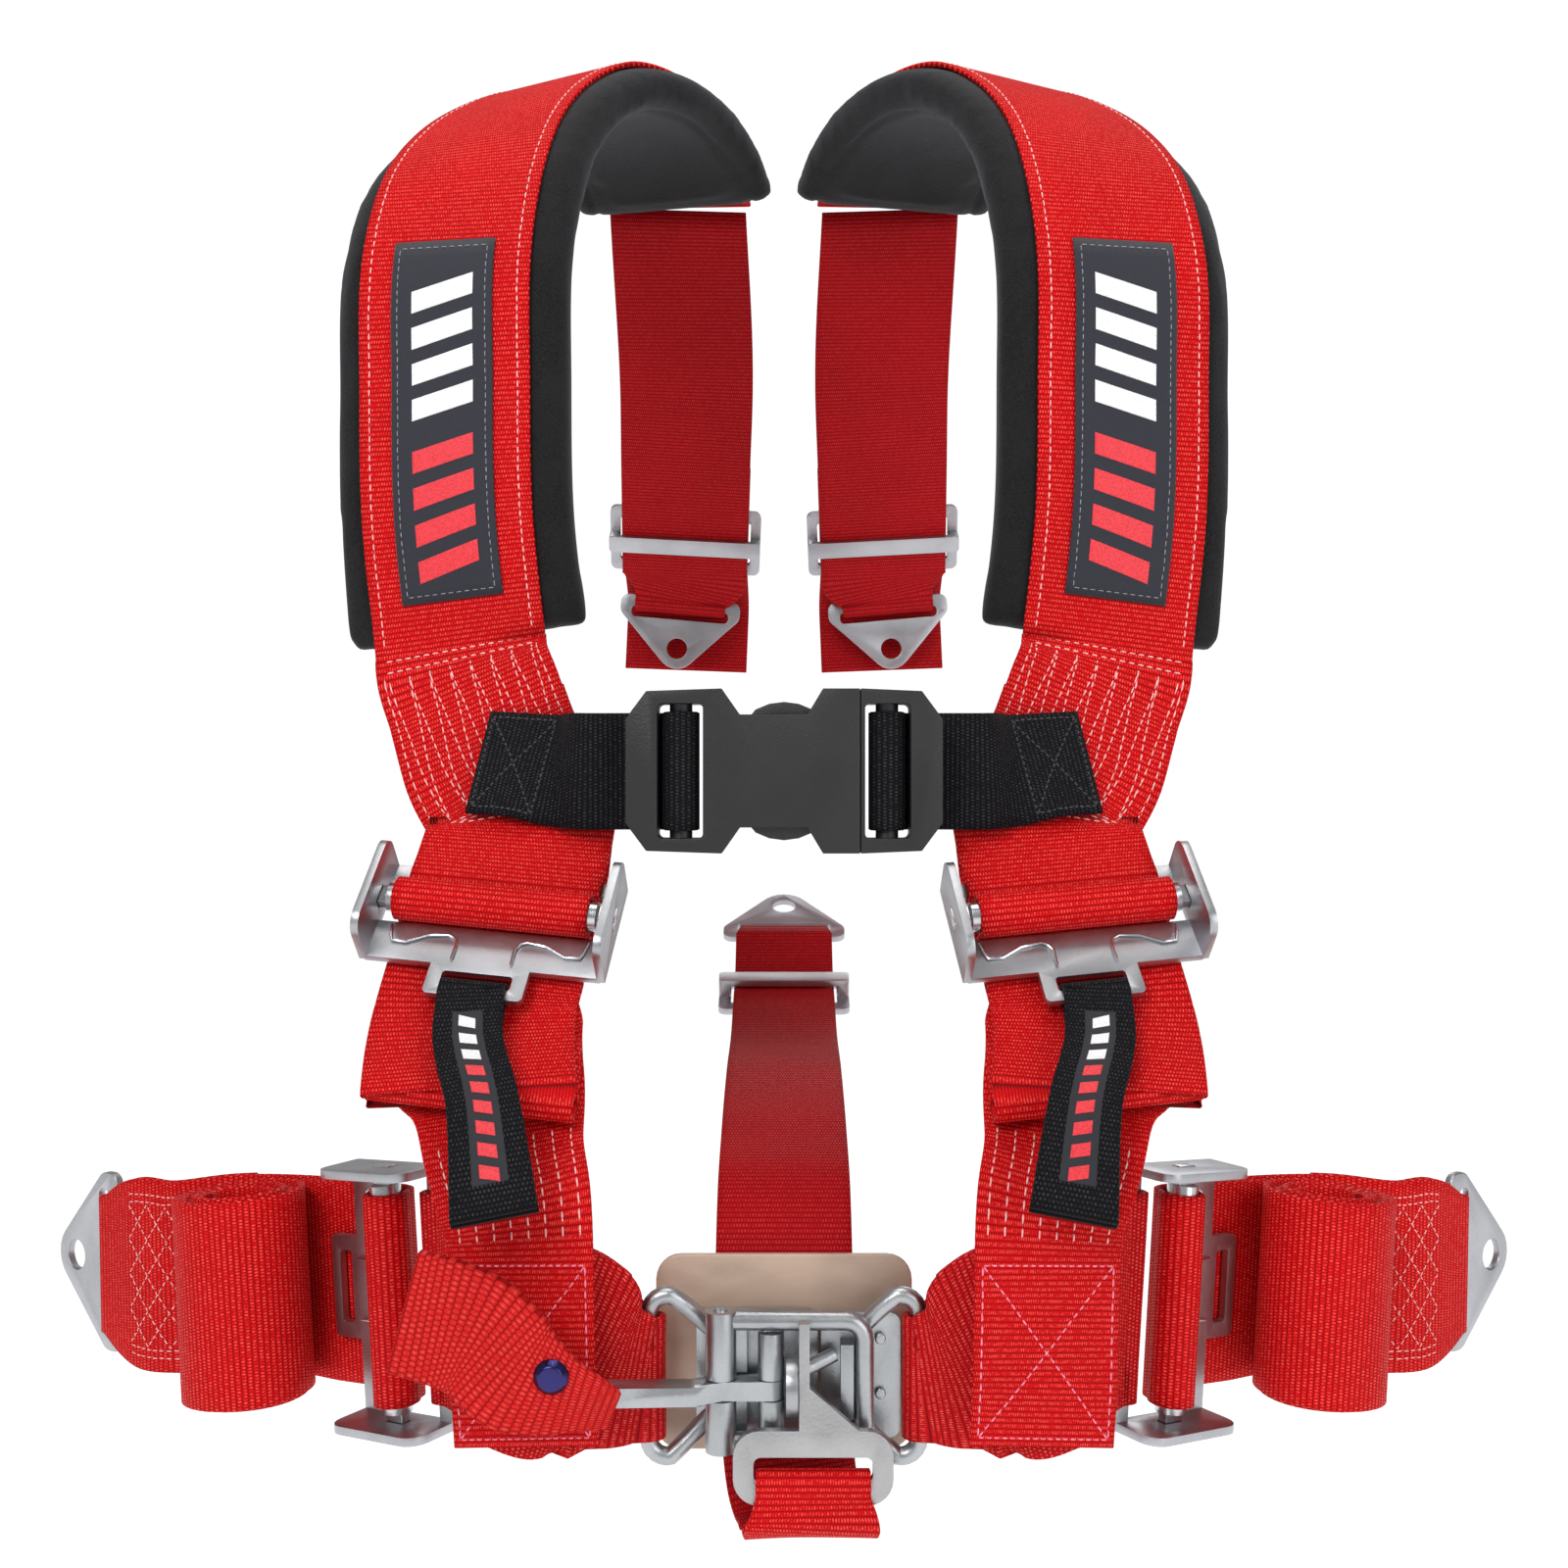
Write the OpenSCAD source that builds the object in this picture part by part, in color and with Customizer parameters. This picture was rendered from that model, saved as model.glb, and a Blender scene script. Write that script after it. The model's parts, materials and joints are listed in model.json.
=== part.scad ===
// Five-point racing harness, worn shape: two padded shoulder runs, two lap belts, a crotch
// strap, a sternum strap with a side-release buckle, and a lever latch in the middle.
// The origin is where the shoulders carry it, midway between the two pads' undersides.
// +X is to the onlooker's right, -Y towards the onlooker, +Z up.

/* [Webbing] */
// Width of the 3 inch belts
belt_w = 76; // [60:1:90]
// Width of the 2 inch crotch strap
crotch_w = 50; // [40:1:60]
// Width of the sternum strap
sternum_w = 46; // [36:1:50]
// Width of the pull tabs
tab_w = 25; // [20:1:30]
// Thickness of all webbing
web_t = 2.4; // [1.6:0.1:3]
// Gap between sewn layers of webbing
seam = 0.3; // [0.2:0.1:0.6]

/* [Shoulder pads] */
// Width of a shoulder pad
pad_w = 108; // [90:1:130]
// Thickness of a shoulder pad
pad_t = 20; // [14:1:24]
// Width of the patch on a pad
patch_w = 45; // [30:1:56]

/* [Adjusters] */
// Plate thickness of the adjuster frames
frame_t = 3; // [2:0.25:4]
// Radius of the gripping bar
bar_r = 5.6; // [4.5:0.1:6]
// How far the frame's ears stand out in front of the bar
ear_h = 13; // [11:0.5:18]

/* [Bolt-in brackets] */
// Radius of the bolt holes
bolt_r = 6.35; // [4:0.05:8]
// Thickness of the brackets
plate_t = 3.2; // [2:0.1:5]

/* [Latch] */
// Radius of the round bar that the latch loops are bent from
rod_r = 3.2; // [2.4:0.1:3.6]
// Height of the latch between the outsides of its loops
latch_h = 63; // [58:0.5:70]
// Radius of the lever's pivot pin
pivot_r = 2.6; // [2:0.1:3]
// Height of the lever's arm
lever_h = 6.5; // [5:0.5:8]

/* [Side-release buckle] */
// Length of the closed buckle
buckle_l = 122; // [110:1:130]
// Height of the buckle
buckle_h = 63.5; // [58:0.5:68]
// Thickness of the buckle
buckle_t = 16; // [14:0.5:20]

/* [Clearances] */
// Radial clearance of a pin that turns in its bore
pin_gap = 0.05; // [0.02:0.01:0.1]
// Gap between pieces that move past each other
gap = 0.4; // [0.3:0.05:0.6]

/* [Hidden] */
$fn = 48;

RED = "firebrick";
BLACK = "#232325";
STEEL = "silver";
PLASTIC = "#2b2b2d";

// ---- frames: an origin and a turn, [point, matrix] ----
function turn_x(a) = [[1, 0, 0], [0, cos(a), -sin(a)], [0, sin(a), cos(a)]];
function turn_y(a) = [[cos(a), 0, sin(a)], [0, 1, 0], [-sin(a), 0, cos(a)]];
function turn_z(a) = [[cos(a), -sin(a), 0], [sin(a), cos(a), 0], [0, 0, 1]];
function frame(at, pitch, roll, yaw) = [at, turn_z(yaw) * turn_y(roll) * turn_x(pitch)];
function put(f, p) = f[0] + f[1] * p;
module seat(f) {
  multmatrix([[each f[1][0], f[0].x], [each f[1][1], f[0].y], [each f[1][2], f[0].z], [0, 0, 0, 1]])
    children();
}

// ---- outlines ----
// Convex outline round circles [x, y, r], listed anticlockwise
function facing(a, b) = atan2(b.y - a.y, b.x - a.x) - 90 + asin((a[2] - b[2]) / norm([b.x - a.x, b.y - a.y]));
function forward(a) = a < -0.001 ? forward(a + 360) : a > 360 ? forward(a - 360) : a;
function round_outline(c) =
  [for (i = [0:len(c) - 1])
    let (last = facing(c[(i + len(c) - 1) % len(c)], c[i]), step = forward(facing(c[i], c[(i + 1) % len(c)]) - last))
    for (k = [0:6]) [c[i].x, c[i].y] + c[i][2] * [cos(last + step * k / 6), sin(last + step * k / 6)]];
// Rounded rectangle between two corners
function round_box(x0, y0, x1, y1, r) =
  round_outline([[x0 + r, y0 + r, r], [x1 - r, y0 + r, r], [x1 - r, y1 - r, r], [x0 + r, y1 - r, r]]);
// Plate whose outline lies in X and Z, from y to y + t
module plate(outline, y, t) {
  translate([0, y + t, 0]) rotate([90, 0, 0]) linear_extrude(t) polygon(outline);
}

// ---- webbing: a strip along stations [x, y, z, side x, side y, side z, width] ----
function unit(v) = v / norm(v);
function place_of(s) = [s[0], s[1], s[2]];
function side_of(s) = [s[3], s[4], s[5]];
function station(p, side, w) = [p.x, p.y, p.z, side.x, side.y, side.z, w];
function span(a, b) = max(norm(place_of(b) - place_of(a)), 0.01);
function slope_at(a, b, c) = let (d = span(a, b), e = span(b, c)) ((b - a) * e / d + (c - b) * d / e) / (d + e);
function curve_at(b, c, m, k, t) = (2 * pow(t, 3) - 3 * t * t + 1) * b + (pow(t, 3) - 2 * t * t + t) * m + (3 * t * t - 2 * pow(t, 3)) * c + (pow(t, 3) - t * t) * k;
function smooth(s, n) =
  [for (i = [0:len(s) - 2]) let (b = s[i], c = s[i + 1], d = span(b, c),
     m = i == 0 ? c - b : d * slope_at(s[i - 1], b, c), k = i == len(s) - 2 ? c - b : d * slope_at(b, c, s[i + 2]))
     for (j = [0:n - 1]) curve_at(b, c, m, k, j / n),
   s[len(s) - 1]];
function heading(s, i) = unit(place_of(s[min(i + 1, len(s) - 1)]) - place_of(s[max(i - 1, 0)]));
function across(s, i) = let (t = heading(s, i), w = side_of(s[i])) unit(w - (w * t) * t);
function outward(s, i) = cross(across(s, i), heading(s, i));
function lifted(s, d) = [for (i = [0:len(s) - 1]) station(place_of(s[i]) + outward(s, i) * d, side_of(s[i]), s[i][6])];
// Strip with the cross-section [[across, outward], ...] at every station, scaled across by its width
module sweep(s, section) {
  n = len(section);
  points = [for (i = [0:len(s) - 1], p = section)
    place_of(s[i]) + across(s, i) * p.x * s[i][6] + outward(s, i) * p.y];
  sides = [for (i = [0:len(s) - 2], k = [0:n - 1]) let (a = i * n + k, b = i * n + (k + 1) % n)
    each [[a, b, a + n], [b, b + n, a + n]]];
  polyhedron(points, concat([[for (k = [n - 1:-1:0]) k]], sides, [[for (k = [0:n - 1]) (len(s) - 1) * n + k]]));
}
layer = web_t + seam;
patch_t = 1;
STRIP = [[-0.5, -web_t / 2], [0.5, -web_t / 2], [0.5, web_t / 2], [-0.5, web_t / 2]];
PAD_SECTION = [for (a = [-75:30:255]) [(cos(a) > 0 ? 0.5 : -0.5) + pad_t / 2 / pad_w * (cos(a) > 0 ? cos(a) - 1 : cos(a) + 1), pad_t / 2 * sin(a)]];
module webbing(s) { sweep(s, STRIP); }
// Stations at [x, y, z] in a frame, or on an arc in its YZ plane
function spot(f, p, w) = station(put(f, p), f[1] * [1, 0, 0], w);
function arc(f, x, y, z, r, from, to, n, w) =
  [for (k = [0:n]) let (a = from + (to - from) * k / n) spot(f, [x, y + r * cos(a), z + r * sin(a)], w)];
// Part of a list, and a list read backwards
function part(s, from, to) = [for (i = [from:to]) s[i]];
function back(s) = [for (i = [len(s) - 1:-1:0]) s[i]];
module both(left) { mirror([left ? 1 : 0, 0, 0]) children(); }

// ---- shoulder run: the wearer's surface under the pad, from the chest over to the back ----
UNDERSIDE = [[131.5, -66, -254, 12], [136.5, -68, -202, 12], [137.5, -68, -148, 12], [136.5, -65.5, -93, 13],
             [131.5, -56, -64, 16], [123.5, -40, -41, 22], [111, -19, -20, 27], [98, 0, -6.5, 28],
             [86, 20, -1, 26], [74, 48, 0, 22], [64, 76, -6, 16], [58, 100, -16, 10]];
under_pad = smooth([for (p = UNDERSIDE) station(p, [cos(p[3]), sin(p[3]), 0], 1)], 3);
function wide(s, w) = [for (p = s) station(place_of(p), side_of(p), w)];
pad_path = wide(lifted(under_pad, pad_t / 2), pad_w);
on_pad = wide(lifted(under_pad, pad_t + gap + web_t / 2), belt_w);
on_webbing = wide(lifted(under_pad, pad_t + 2 * gap + web_t + patch_t / 2), patch_w);

// ---- adjusters: origin on the gripping bar's axis, X along it, +Z towards the fixed end ----
wrap_r = bar_r + gap + web_t / 2;
wrap_out = wrap_r + web_t / 2;
base_y = bar_r + gap + 0.2;
base_mid = base_y + frame_t / 2;
base_back = base_y + frame_t;
ear_x = belt_w / 2 + 6.5;
strip_z = wrap_out + web_t + 4;
strip_h = 6;
lower_z = wrap_out * 0.8;
frame_low = -lower_z - 17;
tab_half = tab_w / 2 + 6.5;
slot_low = frame_low - 9.5;
tab_bar = 4;
fixed_r = norm([frame_t, frame_t]) / 2 + gap + web_t / 2;
loop_r = norm([frame_t, tab_bar]) / 2 + gap + web_t / 2;
shoulder_at = frame([111, -148, -362], -42, -5, 6);
lap_at = frame([143, -177, -502], 0, -85.4, 33);

module side_plate(outline, x, t) { translate([x, 0, 0]) rotate([90, 0, 90]) linear_extrude(t) polygon(outline); }
module adjuster_frame() {
  ear_front = round_outline([[-ear_h + 7, frame_low + 7, 7], [base_back - 1, frame_low + 1, 1],
                             [base_back - 1, strip_z + strip_h - 1, 1], [-ear_h + 7, strip_z + strip_h - 7, 7]]);
  difference() {
    union() {
      plate(round_box(-ear_x - frame_t / 2, frame_low, ear_x + frame_t / 2, -lower_z, 1), base_y, frame_t);
      plate(round_box(-ear_x - frame_t / 2, strip_z, ear_x + frame_t / 2, strip_z + strip_h, 1), base_y, frame_t);
      plate(round_box(-tab_half, slot_low - tab_bar, tab_half, frame_low + 3, 2), base_y, frame_t);
      for (s = [0, 1]) mirror([s, 0, 0]) side_plate(ear_front, ear_x, frame_t);
    }
    plate(round_box(-tab_w / 2 - 1, slot_low, tab_w / 2 + 1, slot_low + 6.5, 1.5), base_y - 1, frame_t + 2);
    cube([2 * ear_x + 20, 4 + 2 * gap, 8 + 2 * gap], center = true);
  }
}
module adjuster_bar() {
  rotate([0, 90, 0]) cylinder(r = bar_r, h = belt_w + 6, center = true);
  cube([2 * (ear_x + frame_t) + 1, 4, 8], center = true);
}
wire_r = 0.6;
// Round bar of radius r along a list of points, its cross-section laid out from a side direction
module round_bar(points, side, r, facets) {
  sweep([for (p = points) station(p, side, 1)], [for (k = [0:facets - 1]) r * [cos(360 * k / facets), sin(360 * k / facets)]]);
}
function joined(points, n) = [for (s = smooth([for (p = points) station(p, [0, 0, 1], 1)], n)) place_of(s)];
module adjuster_springs() {
  y = base_y - 0.2 - wire_r;
  route = [[ear_x - 6, y, -8.6], [ear_x - 8, y, -16], [tab_w / 2 + 3, y, -11], [tab_w / 2, y, -12.5], [tab_w / 2 - 1, y, -22]];
  for (s = [0, 1]) mirror([s, 0, 0]) round_bar(joined(route, 3), [0, 1, 0], wire_r, 6);
}

// Chest run of the shoulder webbing: round the adjuster's fixed strip, then up to the pad
fixed_z = strip_z + frame_t / 2;
chest = smooth([spot(shoulder_at, [0, base_mid - fixed_r, fixed_z], belt_w), spot(shoulder_at, [0, base_mid - fixed_r, fixed_z + 12], belt_w),
                spot(shoulder_at, [2, base_mid - fixed_r, fixed_z + 34], belt_w), station([121, -98, -302], [0.99, 0.14, 0], belt_w),
                station([129, -92.4, -281], [0.982, 0.19, 0], belt_w), station([134.4, -89.6, -266], [0.978, 0.208, 0], belt_w), on_pad[0]], 4);
module shoulder_webbing() {
  turn = arc(shoulder_at, 0, base_mid, fixed_z, fixed_r, 0, -180, 6, belt_w);
  inner = lifted(chest, -layer);
  end = on_pad[len(on_pad) - 1];
  webbing(concat(back(part(inner, 8, 15)), [spot(shoulder_at, [0, base_mid + fixed_r, fixed_z + 10], belt_w)], turn,
                 part(chest, 1, 23), on_pad, [station(place_of(end) + [-1, 9, -6], side_of(end), belt_w)]));
}
module shoulder_pad() { sweep(pad_path, PAD_SECTION); }
module pad_label() { sweep(part(on_webbing, 1, 9), [for (p = STRIP) [p.x, p.y * patch_t / web_t]]); }

// ---- three-bar slides: origin in the middle of the webbing's front layer, +Z along the strap ----
slide_bar = 7;
module three_bar_slide(w, h, layers) {
  half = w / 2 + 1.5;
  rear = layers * layer - seam - web_t / 2 + gap;
  front = -web_t / 2 - gap - plate_t;
  difference() {
    plate(round_box(-half - 6, -h / 2, half + 6, h / 2, 4), rear, plate_t);
    plate(round_box(-half, -h / 2 + slide_bar, half, h / 2 - slide_bar, 1.5), rear - 1, plate_t + 2);
  }
  plate(round_box(-half - 6, -5, half + 6, 5, 2), front, plate_t);
  for (s = [0, 1]) mirror([s, 0, 0]) plate(round_box(half, -5, half + 6, 5, 1), front + 1, rear - front);
}

// ---- bolt-in bracket: origin at the hole, +Z towards the webbing, front face at y = 0 ----
bar_low = bolt_r + 18;
bar_high = bar_low + 7;
function bracket_half(w) = w / 2 + 9;
module bolt_plate(w) {
  half = bracket_half(w);
  difference() {
    plate(round_outline([[0, 0, bolt_r + 6], [half - 7, bar_low - 1, 7], [half - 5, bar_high - 5, 5],
                         [5 - half, bar_high - 5, 5], [7 - half, bar_low - 1, 7]]), 0, plate_t);
    plate(round_box(-w / 2 - 2, bar_low - 6.5, w / 2 + 2, bar_low, 2.5), -1, plate_t + 2);
    rotate([90, 0, 0]) cylinder(r = bolt_r, h = 3 * plate_t, center = true);
  }
}
bracket_mid = (bar_low + bar_high) / 2;
bracket_r = norm([plate_t, bar_high - bar_low]) / 2 + gap + web_t / 2;
function bracket_turn(f, from, to, w) = arc(f, 0, plate_t / 2, bracket_mid, bracket_r, from, to, 8, w);

// ---- rear run ----
rear_slide_at = frame([60, 222.5, -170], 35, -3, 0);
rear_bolt_at = frame([66.5, 246.5, -231], 0, -5, 0);
rear_gather = 56;
rear_slide_h = 42;
crotch_slide_h = 36;
module rear_webbing() {
  third = 2 * layer + plate_t + 2 * gap;
  turn_r = (third - layer) / 2;
  y = plate_t / 2;
  low = -rear_slide_h / 2 - 2;
  webbing(concat(
    smooth([station([57.5, 112.5, -6], [0.97, 0.22, 0.05], belt_w), spot(rear_slide_at, [0, 0, 100], belt_w), spot(rear_slide_at, [0, 0, 50], belt_w),
            spot(rear_slide_at, [0, 0, low + 7], belt_w), spot(rear_slide_at, [0, 0, low], belt_w),
            spot(rear_bolt_at, [0, y - bracket_r, bracket_mid + 2], rear_gather)], 3),
    bracket_turn(rear_bolt_at, 180, 360, rear_gather),
    smooth([spot(rear_bolt_at, [0, y + bracket_r, bracket_mid + 4], rear_gather), spot(rear_slide_at, [0, layer, low], belt_w),
            spot(rear_slide_at, [0, layer, low + 7], belt_w), spot(rear_slide_at, [0, layer, 44], belt_w)], 3),
    arc(rear_slide_at, 0, layer + turn_r, 45, turn_r, 180, 0, 6, belt_w),
    smooth([spot(rear_slide_at, [0, third, 40], belt_w), spot(rear_slide_at, [0, third, 0], belt_w), spot(rear_slide_at, [0, third + 1, low + 4], belt_w),
            spot(rear_bolt_at, [-4, 15, 28], belt_w), spot(rear_bolt_at, [-5, 15, 8], belt_w), spot(rear_bolt_at, [-6, 13, -12], belt_w)], 3)));
}

// ---- link webbing: sewn on the lap loop, up behind, round the gripping bar, tail looped down ----
link_w = 50;
function tail_start(f, w) = [spot(f, [0, base_y + 0.4, -wrap_r * 0.56], w), spot(f, [0, base_back + 0.9, -wrap_r * 0.59], w),
                             spot(f, [0, base_back + gap + web_t / 2, -lower_z - 1], w)];
function wrap(f, w) = arc(f, 0, 0, 0, wrap_r, 36, 296, 16, w);
function rise_end(f, w) = [spot(f, [0, base_back + gap + 0.7 + web_t * 1.5, -9], w), spot(f, [0, base_back + gap + 0.3 + web_t * 1.4, -3.2], w),
                           spot(f, [0, base_back + gap + web_t * 0.8, 1], w), spot(f, [0, base_y + 2.6, 3.4], w)];
module link_webbing() {
  f = shoulder_at;
  up = [station([88, -214.5, -541], [0.998, 0.06, 0], link_w), station([89, -216, -519], [0.998, 0.06, 0], link_w),
        station([89.5, -216.3, -494], [0.998, 0.06, 0], link_w), station([91.5, -213.4, -461], [0.995, 0.1, 0], link_w + 2),
        spot(f, [-25, 18, -92], 56), spot(f, [-16, 21, -68], 64), spot(f, [-6, 21, -50], belt_w),
        spot(f, [0, 18.6, -36], belt_w), spot(f, [0, 15.6, -20], belt_w)];
  fold_y = 11;
  down = [spot(f, [0, 15.2, -36], belt_w), spot(f, [-2, 13.5, -48], belt_w), spot(f, [-9, fold_y - 4, -74], belt_w)];
  webbing(concat(smooth(concat(up, rise_end(f, belt_w)), 3), wrap(f, belt_w), smooth(concat(tail_start(f, belt_w), down), 3),
                 arc(f, -9.5, fold_y, -76, 4, 180, 360, 6, belt_w), [spot(f, [-7, fold_y + 4.5, -62], belt_w), spot(f, [-5, fold_y + 5.2, -50], belt_w)]));
}

// ---- pull tab: looped round the bar of the adjuster's slotted tab ----
tab_pivot = slot_low - tab_bar / 2;
module pull_tab() {
  f = shoulder_at;
  front = smooth([spot(f, [0, base_mid - loop_r, tab_pivot], tab_w), spot(f, [-4, 1.5, -54], tab_w), spot(f, [-19, -6, -86], tab_w),
                  spot(f, [-34, -6, -128], tab_w + 4)], 5);
  inner = lifted(front, -layer);
  webbing(concat(back(part(inner, 4, 15)), [spot(f, [0, base_mid + loop_r - 1.2, tab_pivot - 4.5], tab_w)], arc(f, 0, base_mid, tab_pivot, loop_r, 0, 180, 8, tab_w), part(front, 1, 15)));
}

// ---- lap belts ----
loop_x = 47.5;
latch_y = -198;
latch_z = -523;
loop_w = latch_h - 4 * rod_r - 7;
rod_wrap = rod_r + gap + web_t / 2;
module lap_webbing_inner() {
  f = lap_at;
  up = f[1] * [1, 0, 0];
  z = latch_z;
  front = smooth([station([loop_x, latch_y - rod_wrap, z], [0, 0, 1], loop_w), station([57, latch_y - rod_wrap - 2, z + 2], [0, 0, 1], loop_w + 8),
                  station([70, -207, z + 8], [0, 0, 1], belt_w - 6), station([90, -209.5, z + 15], [0, 0, 1], belt_w),
                  station([107, -205, z + 20], up, belt_w), station([115, -195.5, z + 22.5], up, belt_w),
                  spot(f, [0, base_mid - fixed_r, fixed_z + 5], belt_w)], 3);
  inner = lifted(front, layer);
  webbing(concat(back(part(inner, 5, 9)), [station([57, latch_y + rod_wrap - 3, z + 2], [0, 0, 1], loop_w + 6), station([52, latch_y + rod_wrap, z], [0, 0, 1], loop_w)],
                 [for (a = [90:30:240]) station([loop_x + rod_wrap * cos(a), latch_y + rod_wrap * sin(a), z], [0, 0, 1], loop_w)], front,
                 arc(f, 0, base_mid, fixed_z, fixed_r, 180, 360, 6, belt_w),
                 [spot(f, [0, base_mid + fixed_r, fixed_z + 5], belt_w), spot(f, [0, base_mid + fixed_r, fixed_z + 14], belt_w)]));
}
lap_bolt_at = frame([301, -76, -515], 0, -88, 36);
lap_gather = 56;
roll_y = -14.5;
roll_z = -62.5;
roll_r = 27;
module lap_webbing_outer() {
  f = lap_at;
  p = lap_bolt_at;
  y = plate_t / 2;
  run = smooth([spot(p, [0, y - bracket_r, bracket_mid], lap_gather), spot(p, [0, y - bracket_r, bracket_mid + 10], lap_gather + 12),
                spot(p, [0, y - bracket_r, bracket_mid + 22], belt_w), spot(p, [0, 0, bracket_mid + 42], belt_w), spot(f, [0, 9, -96], belt_w),
                spot(f, [0, 16.6, -62], belt_w), spot(f, [0, 16.4, -40], belt_w), spot(f, [0, 15, -20], belt_w)], 4);
  inner = lifted(run, layer);
  webbing(concat(back(part(inner, 6, 17)), bracket_turn(p, 20, -180, lap_gather), part(run, 1, 27),
                 smooth(concat([run[28]], rise_end(f, belt_w)), 3), wrap(f, belt_w),
                 smooth(concat(tail_start(f, belt_w), [spot(f, [0, roll_y + roll_r - web_t / 2 + 0.6, -40], belt_w)]), 3)));
}
module lap_roll() {
  seat(lap_at) translate([0, roll_y, roll_z]) rotate([0, 90, 0]) cylinder(r = roll_r, h = belt_w, center = true);
}

// ---- latch: origin in the middle of the latch, X across, +Y towards the wearer ----
latch_at = frame([0, latch_y, latch_z], 0, 0, 0);
bend_r = 6.5;
rod_z = latch_h / 2 - rod_r;
lever_z = -2.4;
fulcrum = [-4.5, -5];
bail_pivot = [-22, -5];
knuckle_r = 4.6;
bail_r = 3.4;
bail_x = 28;
bail_z = 21;
// Half of a loop's corner, from straight up the bar to the top
function corner(x, y, z) = [for (a = [0:18:90]) [x - bend_r + bend_r * cos(a), y, z - bend_r + bend_r * sin(a)]];
function with_mirror(points) = concat([for (i = [len(points) - 1:-1:0]) [points[i].x, points[i].y, -points[i].z]], points);
module d_loop(root_y) {
  neck = [[34, root_y / 2, rod_z - 5], [26, root_y, rod_z - 13]];
  round_bar(with_mirror(concat(corner(loop_x, 0, rod_z), joined(concat([[loop_x - bend_r - 1, 0, rod_z]], neck), 3))), [0, 1, 0], rod_r, 14);
}
module knuckle(at, low, high, r) { translate([at.x, at.y, low]) cylinder(r = r, h = high - low); }
lever_low = lever_z - lever_h / 2 - gap;
lever_high = lever_z + lever_h / 2 + gap;
knuckle_high = bail_z - bail_r - gap;
module latch_base() {
  difference() {
    union() {
      plate(round_box(-31, -22, 12, 22, 4), 4, 3);
      mirror([1, 0, 0]) d_loop(5);
      for (z = [[lever_high, knuckle_high], [-knuckle_high, lever_low]]) {
        knuckle(fulcrum, z[0], z[1], knuckle_r);
        translate([fulcrum.x - 3.5, fulcrum.y, z[0]]) cube([7, 5 + 4.5, z[1] - z[0]]);
      }
    }
    knuckle(fulcrum, -30, 30, pivot_r + pin_gap);
  }
}
module latch_pivot_pin() { knuckle(fulcrum, -knuckle_high, knuckle_high, pivot_r); }
module bail_pin() { knuckle(bail_pivot, -bail_z - 2.5, bail_z + 2.5, pivot_r); }
arm_tip = [-74, -31];
arm_bend = [-32, -10];
arm_rise = 0.17;
arm_r = 4;
module lever_bar(from, to, r0, r1) {
  translate([0, 0, lever_z - lever_h / 2]) linear_extrude(lever_h)
    polygon(round_outline([[from.x, from.y, r0], [to.x, to.y, r1]]));
}
module latch_lever() {
  difference() {
    union() {
      multmatrix([[1, 0, 0, 0], [0, 1, 0, 0], [-arm_rise, 0, 1, arm_rise * arm_bend.x], [0, 0, 0, 1]])
        lever_bar(arm_tip, arm_bend, arm_r, arm_r + 0.1);
      lever_bar(arm_bend, bail_pivot, arm_r + 0.1, arm_r + 0.2);
      lever_bar(bail_pivot, fulcrum, arm_r + 0.2, knuckle_r - 0.2);
    }
    knuckle(fulcrum, -30, 30, pivot_r + pin_gap);
    knuckle(bail_pivot, -30, 30, pivot_r + pin_gap);
  }
}
module latch_bail() {
  difference() {
    union() {
      round_bar(with_mirror(concat(corner(bail_x, bail_pivot.y, bail_z), [[bail_pivot.x, bail_pivot.y, bail_z]])), [0, 1, 0], bail_r, 14);
      knuckle(bail_pivot, lever_high, bail_z + bail_r, 5.4);
      knuckle(bail_pivot, -bail_z - bail_r, lever_low, 5.4);
      translate([bail_pivot.x - 2, bail_pivot.y + 4.6, -bail_z]) cube([11, 2.2, 2 * bail_z]);
    }
    knuckle(bail_pivot, -30, 30, pivot_r + pin_gap);
    translate([bail_pivot.x - 8, bail_pivot.y - 8, lever_low]) cube([24, 17, lever_high - lever_low]);
  }
}
hook_face = bail_x - bail_r - gap;
stud_x = 33.8;
stud_r = 1.9;
peg_r = 2.6;
module link_plate() {
  plate(round_box(13, -22, 41, 22, 4), 0.5, 3);
  d_loop(2);
  translate([hook_face - 4.5, -7, -13]) cube([4.5, 8, 26]);
}
module link_plate_studs() {
  for (z = [13.3, -6]) translate([stud_x, 0.2, z]) rotate([90, 0, 0]) cylinder(r = stud_r, h = 2);
}
disc_x = 0.7;
disc_t = 4.1;
module link_peg() {
  translate([disc_x, -7.5, -1]) rotate([0, 90, 0]) cylinder(r = 10, h = disc_t);
  rod_from = [disc_x + disc_t - 1, -7.5, 3];
  v = [hook_face - 6.5, -4, 9] - rod_from;
  translate(rod_from) rotate([0, acos(v.z / norm(v)), atan2(v.y, v.x)]) cylinder(r = peg_r, h = norm(v));
}
module latch_pad() { plate(round_box(-46, -31, 46, 39, 9), 12.4, 3); }
tab_route = [[-57, -33.5, 1, 13], [-66, -37.5, 5, 20], [-75, -39, 8, 28], [-86, -39, 13, 38], [-102, -36, 26, 42], [-126, -32, 33, 42]];
tab_t = 5;
module lever_tab() {
  sweep(smooth([for (p = tab_route) station([p.x, p.y, p.z], [0.15, 0, 0.99], p[3])], 4), [for (p = STRIP) [p.x, p.y * tab_t / web_t]]);
}
module lever_tab_rivet() { translate([-76, -41.9, 14.5]) rotate([90, 0, 0]) cylinder(r1 = 6, r2 = 4, h = 2.6); }

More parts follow.
